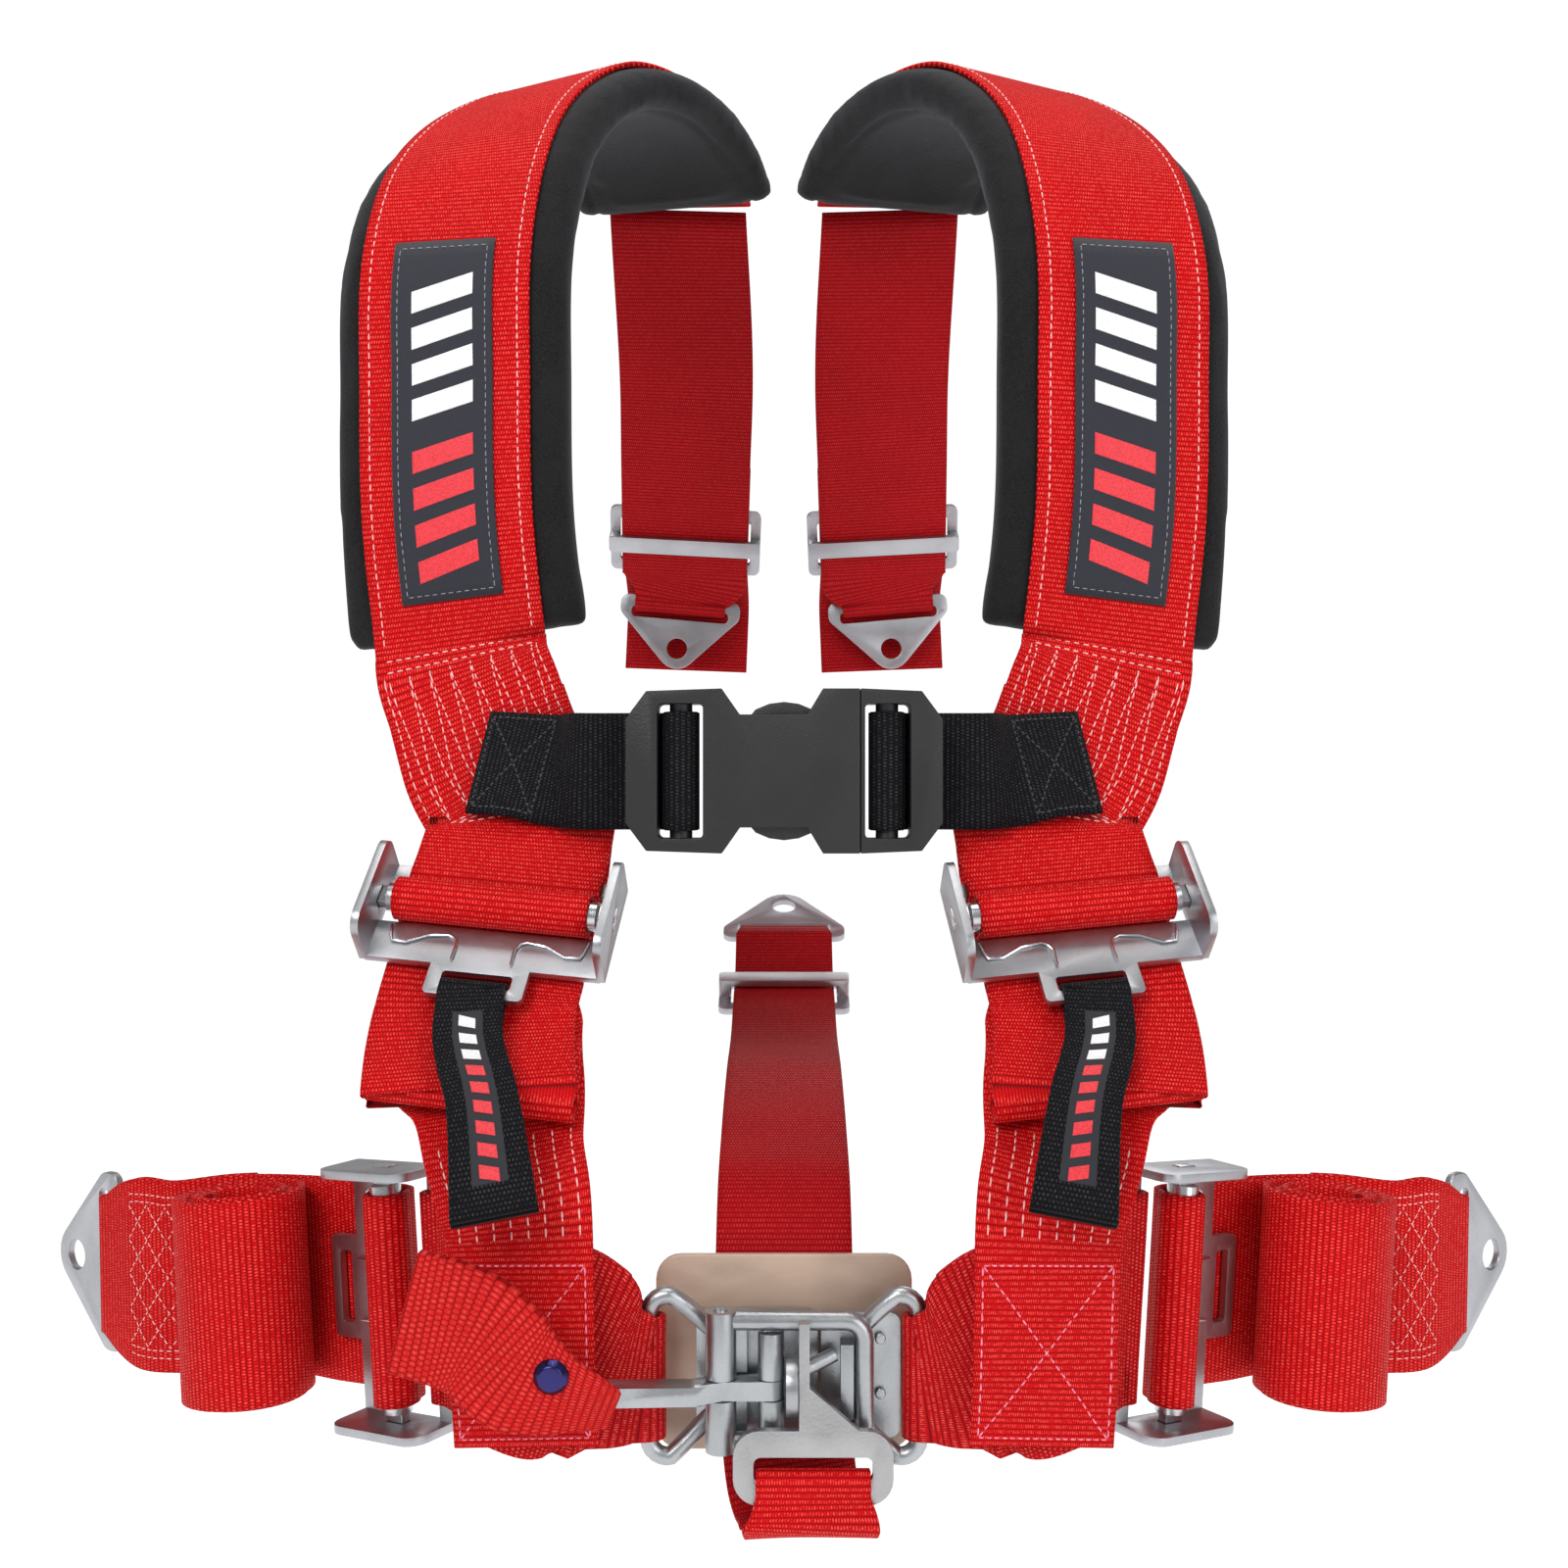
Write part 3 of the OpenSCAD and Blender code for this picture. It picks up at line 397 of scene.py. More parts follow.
def rearRoute():
    w, gather, low = belts["lap"], belts["gather"], -23
    third = 2 * layer + belts["plate"] + 2 * gap
    turnR = (third - layer) / 2
    front, behind = plateY - bracketR, plateY + bracketR
    down = ([station((57.5, 112.5, -6), (0.97, 0.22, 0.05), w)]
            + spots(rearSlide, [(0, 0, 100, w), (0, 0, 50, w), (0, 0, low + 7, w), (0, 0, low, w)])
            + [spot(rearBolt, (0, front, bracketMid + 2), gather)])
    up = ([spot(rearBolt, (0, behind, bracketMid + 4), gather)]
          + spots(rearSlide, [(0, layer, low, w), (0, layer, low + 7, w), (0, layer, 44, w)]))
    tail = (spots(rearSlide, [(0, third, 40, w), (0, third, 0, w), (0, third + 1, low + 4, w)])
            + spots(rearBolt, [(-4, 15, 28, w), (-5, 15, 8, w), (-6, 13, -12, w)]))
    return (smooth(down, 3) + bracketTurn(rearBolt, 180, 360, gather) + smooth(up, 3)
            + arc(rearSlide, 0, layer + turnR, 45, turnR, 180, 0, 6, w) + smooth(tail, 3))


def tailStart(f, w):
    return [spot(f, (0, baseY + 0.4, -wrapR * 0.56), w), spot(f, (0, baseBack + 0.9, -wrapR * 0.59), w),
            spot(f, (0, baseBack + gap + thick / 2, -lowerZ - 1), w)]


def wrap(f, w):
    return arc(f, 0, 0, 0, wrapR, 36, 296, 16, w)


def riseEnd(f, w):
    return spots(f, [(0, baseBack + gap + 0.7 + thick * 1.5, -9, w), (0, baseBack + gap + 0.3 + thick * 1.4, -3.2, w),
                     (0, baseBack + gap + thick * 0.8, 1, w), (0, baseY + 2.6, 3.4, w)])


def linkRoute():
    f, w, link = shoulderSeat, belts["lap"], belts["link"]
    up = (stations((0.998, 0.06, 0), [(88, -214.5, -541, link), (89, -216, -519, link), (89.5, -216.3, -494, link)])
          + [station((91.5, -213.4, -461), (0.995, 0.1, 0), link + 2)]
          + spots(f, [(-25, 18, -92, 56), (-16, 21, -68, 64), (-6, 21, -50, w), (0, 18.6, -36, w), (0, 15.6, -20, w)]))
    down = spots(f, [(0, 15.2, -36, w), (-2, 13.5, -48, w), (-9, 7, -74, w)])
    return (smooth(up + riseEnd(f, w), 3) + wrap(f, w) + smooth(tailStart(f, w) + down, 3)
            + arc(f, -9.5, 11, -76, 4, 180, 360, 6, w) + spots(f, [(-7, 15.5, -62, w), (-5, 16.2, -50, w)]))


def tabRoute():
    f, w = shoulderSeat, belts["tab"]
    front = smooth(spots(f, [(0, baseMid - tabLoopR, tabPivot, w), (-4, 1.5, -54, w), (-19, -6, -86, w),
                             (-34, -6, -128, w + 4)]), 5)
    inner = lifted(front, layer)
    return (part(inner, 4, 15)[::-1] + [spot(f, (0, baseMid + tabLoopR - 1.2, tabPivot - 4.5), w)]
            + arc(f, 0, baseMid, tabPivot, tabLoopR, 0, 180, 8, w) + part(front, 1, 15))


def lapInnerRoute():
    f, w, rod, upright = lapSeat, belts["lap"], belts["rod"] + gap + thick / 2, (0, 0, 1)
    up, z, y, x, loop = lapSeat[1][:, 0], -523, -198, 47.5, 63 - 4 * belts["rod"] - 7
    front = smooth(stations(upright, [(x, y - rod, z, loop), (57, y - rod - 2, z + 2, loop + 8),
                                      (70, -207, z + 8, w - 6), (90, -209.5, z + 15, w)])
                   + stations(up, [(107, -205, z + 20, w), (115, -195.5, z + 22.5, w)])
                   + [spot(f, (0, baseMid - fixedR, fixedZ + 5), w)], 3)
    inner = lifted(front, layer)
    turned = stations(upright, [(x + rod * cosine(a), y + rod * sine(a), z, loop) for a in range(90, 250, 10)])
    return (part(inner, 5, 9)[::-1] + stations(upright, [(57, y + rod - 3, z + 2, loop + 6), (52, y + rod, z, loop)])
            + turned + front + arc(f, 0, baseMid, fixedZ, fixedR, 180, 360, 6, w)[1:]
            + spots(f, [(0, baseMid + fixedR, fixedZ + 5, w), (0, baseMid + fixedR, fixedZ + 14, w)]))


roll = {"y": -14.5, "z": -62.5, "r": 27, "pitch": 2.85, "turns": 6.4, "squash": 0.93, "drift": 1.3}


def spiral(f, w):
    out = []
    steps = int(roll["turns"] * 40)
    for k in range(steps + 1):
        a = -2 * math.pi * roll["turns"] * k / steps
        turnsIn = -a / (2 * math.pi)
        r = roll["r"] - thick / 2 - 0.1 - roll["pitch"] * turnsIn * (1 - 0.035 * turnsIn)
        x = roll["drift"] * math.sin(turnsIn * 2.1) * min(1, turnsIn)
        squash = 1 if a > -1.2 else roll["squash"]
        out.append(spot(f, (x, roll["y"] + r * math.cos(a) * squash, roll["z"] + r * math.sin(a)), w - 1))
    return out


def lapOuterRoute():
    f, p, w, gather, front = lapSeat, lapBolt, belts["lap"], belts["gather"], plateY - bracketR
    run = smooth(spots(p, [(0, front, bracketMid, gather), (0, front, bracketMid + 10, gather + 12),
                           (0, front, bracketMid + 22, w), (0, 0, bracketMid + 42, w)])
                 + spots(f, [(0, 9, -96, w), (0, 16.6, -62, w), (0, 16.4, -40, w), (0, 15, -20, w)]), 4)
    inner = lifted(run, -layer)
    onRoll = spot(f, (0, roll["y"] + roll["r"] - thick / 2 - 0.2, -44), w)
    return (part(inner, 6, 17)[::-1] + bracketTurn(p, 20, -180, gather) + part(run, 1, 27)
            + smooth([run[-1]] + riseEnd(f, w), 3) + wrap(f, w) + smooth(tailStart(f, w) + [onRoll], 3) + spiral(f, w))


def crotchLoopRoute():
    f, y, r, w, full = latchSeat, -15.8 + 1.75, 3.5 / 2 + gap + thick / 2, 39.5, belts["crotch"] - 4
    return (smooth(spots(f, [(8, y + 9, -50.5, full), (9, y + 3, -50.5, full), (10, y - r + 0.3, -46, full),
                             (10, y - r, -36, w)]), 3)
            + arc(f, 10, y, -31.6, r, 180, 0, 6, w) + [spot(f, (10, y + r, -39.5), w)])


def crotchRoute():
    k, c, w, n = crotchBolt, crotchSlide, belts["crotch"], belts["crotch"] - 4
    run = ([spot(k, (0, plateY + bracketR, bracketMid + 7), w)]
           + spots(c, [(0, 0, -18, w), (0, 0, 20, w), (0, 0, 48, w)])
           + stations((1, 0, 0), [(0, -60, -440, w), (0, -120, -454, w), (0, -160, -470, w), (0, -176, -490, w),
                                  (0, -178.4, -520, w), (1, -178.6, -548, w - 2), (3, -184, -566, w - 3),
                                  (6, -194, -573, n), (7, -200, -573.5, n)]))
    return (spots(c, [(0, -layer, 34, w), (0, -layer, 0, w)])
            + smooth([spot(c, (0, -layer, -20), w), spot(k, (0, plateY - bracketR, bracketMid + 5), n)], 2)
            + bracketTurn(k, 180, 0, n) + smooth(run, 3))


def sternumRoute():
    w, t, postR = belts["sternum"], 8, 4.4
    x, y, z = 40, buckleSeat[0][1], buckleSeat[0][2]
    near, wrapPost = t + gap + thick / 2, postR + gap + thick / 2
    behind, up = y + near, (0, 0, 1)
    lean = np.array((0.1, 0.45, 0.9)) / np.linalg.norm((0.1, 0.45, 0.9))
    less = np.array((0.05, 0.3, 0.95)) / np.linalg.norm((0.05, 0.3, 0.95))
    chest = (stations(lean, [(124, -106.5, z + 4, w), (108, -111, z + 3, w)]) + [station((93, -116, z + 1), less, w)]
             + stations(up, [(80, behind - 0.6, z, w), (x + 22, behind, z, w), (x + 9, behind, z, w)]))
    post = [(x + wrapPost * cosine(a), y + wrapPost * sine(a), z, w) for a in range(25, -210, -8)]
    sewn = [(x - 3.4, y + t - 2.5, z, w), (x + 0.5, behind + 1.2, z, w), (x + 8, behind + layer, z, w),
            (x + 22, behind + layer, z, w), (x + 32, behind + layer, z, w)]
    return (smooth(chest, 3) + stations(up, [(x + 6, y + t + 0.3, z, w), (x + 5, y + t - 3, z, w)])
            + stations(up, post) + smooth(stations(up, sewn), 2))


# Meshes
def newObject(name, points, faces, material, mirrored, smoothFaces=True):
    points = np.array(points, float) * 0.001
    if mirrored:
        points[:, 0] *= -1
        faces = [f[::-1] for f in faces]
    mesh = bpy.data.meshes.new(name)
    mesh.from_pydata([tuple(p) for p in points], [], faces)
    mesh.materials.append(material)
    obj = bpy.data.objects.new(name, mesh)
    bpy.context.scene.collection.objects.link(obj)
    if smoothFaces:
        mesh.shade_smooth()
    return obj


def finishPiece(obj, body, slot, *replaced):
    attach(obj, body)
    if replaced:
        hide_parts(*replaced)
    return obj


class Belt:
    def __init__(self, stations, fullWidth):
        kept = [stations[0]]
        for s in stations[1:]:
            if np.linalg.norm(s[:3] - kept[-1][:3]) > 0.25:
                kept.append(s)
        self.s = np.array(kept)
        self.p, self.heading, self.across, self.out = axes(kept)
        self.run = np.concatenate([[0], np.cumsum(np.linalg.norm(np.diff(self.p, axis=0), axis=1))])
        self.full, self.length = fullWidth, self.run[-1]

    def take(self, rows, run):
        return np.array([np.interp(run, self.run, rows[:, k]) for k in range(3)])

    def at(self, u, run, lift):
        share = u / self.full
        width = np.interp(run, self.run, self.s[:, 6])
        return self.take(self.p, run) + self.take(self.across, run) * share * width + self.take(self.out, run) * lift

    def near(self, point, limit=1e9):  # how far along the belt is nearest to a point
        kept = self.run < limit
        return float(self.run[kept][np.argmin(np.linalg.norm(self.p[kept] - np.array(point), axis=1))])


def beltMesh(name, belt, material, mirrored, thickness=thick, columns=14, rumple=None):
    half, edge, t = 0.5, 0.45, thickness / 2
    top = [(-half + k / columns, t) for k in range(columns + 1)]
    ring = (top + [(half, t * 0.25), (half, -t * 0.25)] + [(x, -y) for x, y in top[::-1]]
            + [(-half, -t * 0.25), (-half, t * 0.25)])
    n, points, uv = len(ring), [], []
    for i, s in enumerate(belt.s):
        w = s[6]
        for k, (x, h) in enumerate(ring):
            inside = edge / w if abs(h) == t and abs(x) == half else 0
            u = x - math.copysign(inside, x)
            bend = rumple(u * 2, belt.run[i]) if rumple else 0
            points.append(belt.p[i] + belt.across[i] * u * w + belt.out[i] * (h + bend))
            uv.append((u * belt.full, belt.run[i]))
    faces = []
    for i in range(len(belt.s) - 1):
        for k in range(n):
            a, b = i * n + k, i * n + (k + 1) % n
            faces.append((a, a + n, b + n, b))
    last = (len(belt.s) - 1) * n
    for base, flip in ((0, False), (last, True)):
        cap = [(base + k, base + k + 1, base + n - 4 - k, base + n - 3 - k) for k in range(columns)]
        cap.append((base + columns, base + columns + 1, base + columns + 2, base + columns + 3))
        cap.append((base + n - 3, base + n - 2, base + n - 1, base))
        faces += [c[::-1] for c in cap] if flip else cap
    obj = newObject(name, points, faces, material, mirrored)
    layerUv = obj.data.uv_layers.new(name="cloth")
    index = np.zeros(len(obj.data.loops), int)
    obj.data.loops.foreach_get("vertex_index", index)
    layerUv.data.foreach_set("uv", np.array(uv)[index].astype(np.float32).ravel())
    return obj


stitch = {"pitch": 3.9, "length": 2.9, "radius": 0.33, "sides": 5}


def threadMesh(name, belt, lines, material, mirrored, lift=None, pitch=None, radius=None, face=1):
    pitch, radius = pitch or stitch["pitch"], radius or stitch["radius"]
    length = pitch * stitch["length"] / stitch["pitch"]
    lift = thick / 2 if lift is None else lift
    points, faces, sides = [], [], stitch["sides"]
    profile = ((0, 0.35, -0.15), (0.2, 0.9, 0.12), (0.5, 1.0, 0.2), (0.8, 0.9, 0.12), (1, 0.35, -0.15))
    for line in lines:
        line = np.array(line, float)
        steps = np.linalg.norm(np.diff(line, axis=0), axis=1)
        total = np.concatenate([[0], np.cumsum(steps)])
        count = max(1, int(total[-1] / pitch))
        for i in range(count):
            start = (i + 0.5) * total[-1] / count - length / 2
            jitter = rng.uniform(-0.12, 0.12)
            mids = []
            for share, size, rise in profile:
                d = start + share * length
                u, run = (np.interp(d, total, line[:, k]) for k in (0, 1))
                place, over = (belt.at(u + jitter, run, face * (lift + h)) for h in (rise, rise + 1))
                mids.append((place, over, size))
            along = mids[-1][0] - mids[0][0]
            along /= max(np.linalg.norm(along), 1e-9)
            base = len(points)
            for p, above, size in mids:
                out = above - p
                side = np.cross(along, out)
                side /= max(np.linalg.norm(side), 1e-9)
                for k in range(sides):
                    a = 2 * math.pi * k / sides
                    points.append(p + radius * size * (side * math.cos(a) + out * math.sin(a) * 0.8))
            for r in range(len(profile) - 1):
                for k in range(sides):
                    a, b = base + r * sides + k, base + r * sides + (k + 1) % sides
                    faces.append((a, b, b + sides, a + sides))
            faces.append(tuple(base + k for k in range(sides))[::-1])
            faces.append(tuple(base + (len(profile) - 1) * sides + k for k in range(sides)))
    return newObject(name, points, faces, material, mirrored)


def zigzag(u0, u1, a, b, count):
    return [(u0 + (u1 - u0) * k / count, a if k % 2 == 0 else b) for k in range(count + 1)]


def boxCross(u0, u1, a, b):
    return [[(u0, a), (u1, a)], [(u1, a), (u1, b)], [(u1, b), (u0, b)], [(u0, b), (u0, a)],
            [(u0, a), (u1, b)], [(u1, a), (u0, b)]]


sides = (("left", True), ("right", False))
shoulderBelt = Belt(chestRoute(), belts["lap"])
rearBelt = Belt(rearRoute(), belts["lap"])
linkBelt = Belt(linkRoute(), belts["lap"])
tabBelt = Belt(tabRoute(), belts["tab"])
lapInner = Belt(lapInnerRoute(), belts["lap"])
lapOuter = Belt(lapOuterRoute(), belts["lap"])
loopBelt = Belt(crotchLoopRoute(), belts["crotch"])
crotchBelt = Belt(crotchRoute(), belts["crotch"])
sternumBelt = Belt(sternumRoute(), belts["sternum"])
patchBelt = Belt(part(onWebbing, 1, 9), belts["patchWide"])
padBelt = Belt(padPath, belts["padWide"])
for label, belt in (("shoulder", shoulderBelt), ("rear", rearBelt), ("link", linkBelt), ("tab", tabBelt),
                    ("lap inner", lapInner), ("lap outer", lapOuter), ("crotch fold", loopBelt),
                    ("crotch", crotchBelt), ("sternum", sternumBelt), ("patch", patchBelt), ("pad", padBelt)):
    print(label, "length", round(belt.length), "mm")


def ripple(amount, waves, seed):
    phase = random.Random(seed).uniform(0, 6)
    return lambda u, run: (amount * math.sin(u * waves + phase + run * 0.021) * math.sin(run * 0.045 + phase)
                           * (1 - u * u * 0.4))


# Shoulder pads: a slightly slim bolster, swollen by cloth pressure, then pressed flat under its belt
pad = {"slim": 0.94, "endRound": 10, "voxel": 0.0055, "pressure": 4.0, "frames": 20, "cap": 1.6, "edgeSwell": 2.2,
       "pipeAt": 41.5, "pipeDeep": 1.3, "pipeWide": 1.7}


def padBlank():
    half, t = belts["padWide"] / 2 * 0.985, belts["padThick"] / 2 * pad["slim"]
    ring = []
    for k in range(40):
        a = 2 * math.pi * (k + 0.5) / 40
        c, s = math.cos(a), math.sin(a)
        ring.append((math.copysign(abs(c) ** 0.28, c) * half, math.copysign(abs(s) ** 0.62, s) * t))
    points, faces = [], []
    runs = np.concatenate([np.array([0.3, 1.5, 3.5, 6.5, 10]), np.arange(16, padBelt.length - 14, 6),
                           padBelt.length - np.array([10, 6.5, 3.5, 1.5, 0.3])])
    for run in runs:
        near = min(run, padBelt.length - run)
        shrink = math.sqrt(max(0.0, 1 - (1 - min(1, near / pad["endRound"])) ** 2)) * 0.92 + 0.08
        for u, h in ring:
            points.append(padBelt.at(u * (0.975 + 0.025 * shrink), run, h * shrink))
    n = len(ring)
    for i in range(len(runs) - 1):
        for k in range(n):
            a, b = i * n + k, i * n + (k + 1) % n
            faces.append((a, b, b + n, a + n))
    faces.append(tuple(range(n))[::-1])
    faces.append(tuple((len(runs) - 1) * n + k for k in range(n)))
    return newObject("shoulder_pad_cushion_right", points, faces, finishes["velour"], False)


def modify(obj, kind, **settings):
    modifier = obj.modifiers.new(kind.lower(), kind)
    for key, value in settings.items():
        setattr(modifier, key, value)
    bpy.context.view_layer.objects.active = obj
    bpy.ops.object.modifier_apply(modifier=modifier.name)


def pressPad(obj):
    mesh = obj.data
    co = np.array([v.co for v in mesh.vertices]) * 1000
    for i, p in enumerate(co):
        k = int(np.argmin(np.linalg.norm(padBelt.p - p, axis=1)))
        rel = p - padBelt.p[k]
        u, h = float(rel @ padBelt.across[k]), float(rel @ padBelt.out[k])
        target = h
        limit = belts["padThick"] / 2
        if abs(u) < 39 and h > 0:
            target = min(h, limit - 0.15)
        elif h > 0:
            target = min(h, limit + pad["edgeSwell"] * math.exp(-((abs(u) - 46) / 5) ** 2))
        if h < 0:
            groove = pad["pipeDeep"] * math.exp(-((abs(u) - pad["pipeAt"]) / pad["pipeWide"]) ** 2)
            target = max(h, -limit) + groove
        co[i] = p + padBelt.out[k] * (target - h)
    mesh.vertices.foreach_set("co", (co * 0.001).astype(np.float32).ravel())
    mesh.update()


def simulatePad(obj):
    before = np.array([v.co for v in obj.data.vertices])
    cloth = obj.modifiers.new("swell", "CLOTH")
    cloth.settings.use_pressure = True
    cloth.settings.uniform_pressure_force = pad["pressure"]
    cloth.settings.effector_weights.gravity = 0
    cloth.settings.quality = 4
    cloth.collision_settings.use_collision = False
    scene = bpy.context.scene
    for step in range(1, pad["frames"] + 1):
        scene.frame_set(step)
    made = obj.evaluated_get(bpy.context.evaluated_depsgraph_get())
    after = np.array([v.co for v in made.data.vertices])
    move = after - before
    size = np.linalg.norm(move, axis=1)[:, None]
    move *= np.minimum(1, pad["cap"] * 0.001 / np.maximum(size, 1e-9))
    obj.modifiers.remove(cloth)
    scene.frame_set(1)
    obj.data.vertices.foreach_set("co", (before + move).astype(np.float32).ravel())
    obj.data.update()


cushion = padBlank()
cushion.data.remesh_voxel_size = pad["voxel"]
bpy.context.view_layer.objects.active = cushion
cushion.select_set(True)
bpy.ops.object.voxel_remesh()
simulatePad(cushion)
modify(cushion, "SUBSURF", levels=1, render_levels=1)
pressPad(cushion)
cushion.data.shade_smooth()
cushion.select_set(False)
twin = bpy.data.objects.new("shoulder_pad_cushion_left", cushion.data.copy())
bpy.context.scene.collection.objects.link(twin)
for v in twin.data.vertices:
    v.co.x *= -1
twin.data.flip_normals()
for obj, side in ((cushion, "right"), (twin, "left")):
    if not obj.data.materials:
        obj.data.materials.append(finishes["velour"])
    finishPiece(obj, "harness", "pad_fabric", "shoulder_pad_" + side)
print("pads ready:", len(cushion.data.vertices), "points each")

# Belts and their stitching
padStart, padEnd = shoulderBelt.near(onPad[0][:3]), shoulderBelt.near(onPad[-1][:3])
adjusterRun = shoulderBelt.near(put(shoulderSeat, (2, baseMid - fixedR, fixedZ + 34)))
panelTop, panelBottom = padStart - 1, padStart - 74
linkPanel = (linkBelt.near((88, -214.5, -541)) + 3, linkBelt.near((89.5, -216.3, -478)))
rowsTop = linkBelt.near((99, -206, -452))
outerFold = lapOuter.near(put(lapBolt, (0, plateY - bracketR, bracketMid + 20)), 300)
outerDouble = outerFold + 52
print("lap net from", round(outerFold), "to", round(outerDouble), "of", round(lapOuter.length))


def shoulderStitches():
    edges = [[(u, padStart + 4), (u, padEnd - 6)] for u in (-33, 33)]
    panel = [[(-33, panelTop + d), (33, panelTop + d)] for d in (0, -4)]
    panel += [[(-33, panelBottom + d), (33, panelBottom + d)] for d in (0, 4)]
    panel += [[(u, panelTop - 5), (u, panelBottom + 5)] for u in (-34, 34)]
    panel += [zigzag(-32, 32, panelTop - 6, panelBottom + 7, 14)]
    return edges, panel + [[(-30, adjusterRun), (30, adjusterRun)]]


def fan(count, u0, u1, a, b):
    return [[(u, a), (u, b)] for u in (u0 + (u1 - u0) * k / (count - 1) for k in range(count))]


# Raised embroidery: each shape is an outline on the belt
def frontMark(name, belt, shapes, material, mirrored, lift, height=0.5, face=1):
    points, faces = [], []
    for shape in shapes:
        base, n = len(points), len(shape)
        cu, cv = sum(p[0] for p in shape) / n, sum(p[1] for p in shape) / n
        for scale, up in ((1, -0.1), (1, height * 0.6), (0.93, height)):
            points += [belt.at(cu + (u - cu) * scale, cv + (v - cv) * scale, face * (lift + up))
                       for u, v in shape]
        for r in range(2):
            for k in range(n):
                a, b = base + r * n + k, base + r * n + (k + 1) % n
                faces.append((a, b, b + n, a + n))
        faces.append(tuple(base + 2 * n + k for k in range(n)))
        faces.append(tuple(base + k for k in range(n))[::-1])
    if face < 0:
        faces = [f[::-1] for f in faces]
    return newObject(name, points, faces, material, mirrored, False)


def slant(u0, u1, v0, v1, lean, cuts=7):  # a leaning bar, its long edges cut so that it follows a bend
    up = [(u0 + (u1 - u0) * k / cuts, v0 + lean * k / cuts) for k in range(cuts + 1)]
    return up + [(u, v + v1 - v0) for u, v in up[::-1]]


def sew(name, belt, lines, thread, mirrored, body="harness", slot="red_webbing", **more):
    finishPiece(threadMesh(name, belt, lines, finishes[thread], mirrored, **more), body, slot)


def embroider(name, belt, shapes, floss, mirrored, body, *more):
    finishPiece(frontMark(name, belt, shapes, finishes[floss], mirrored, *more), body, "label_fabric")


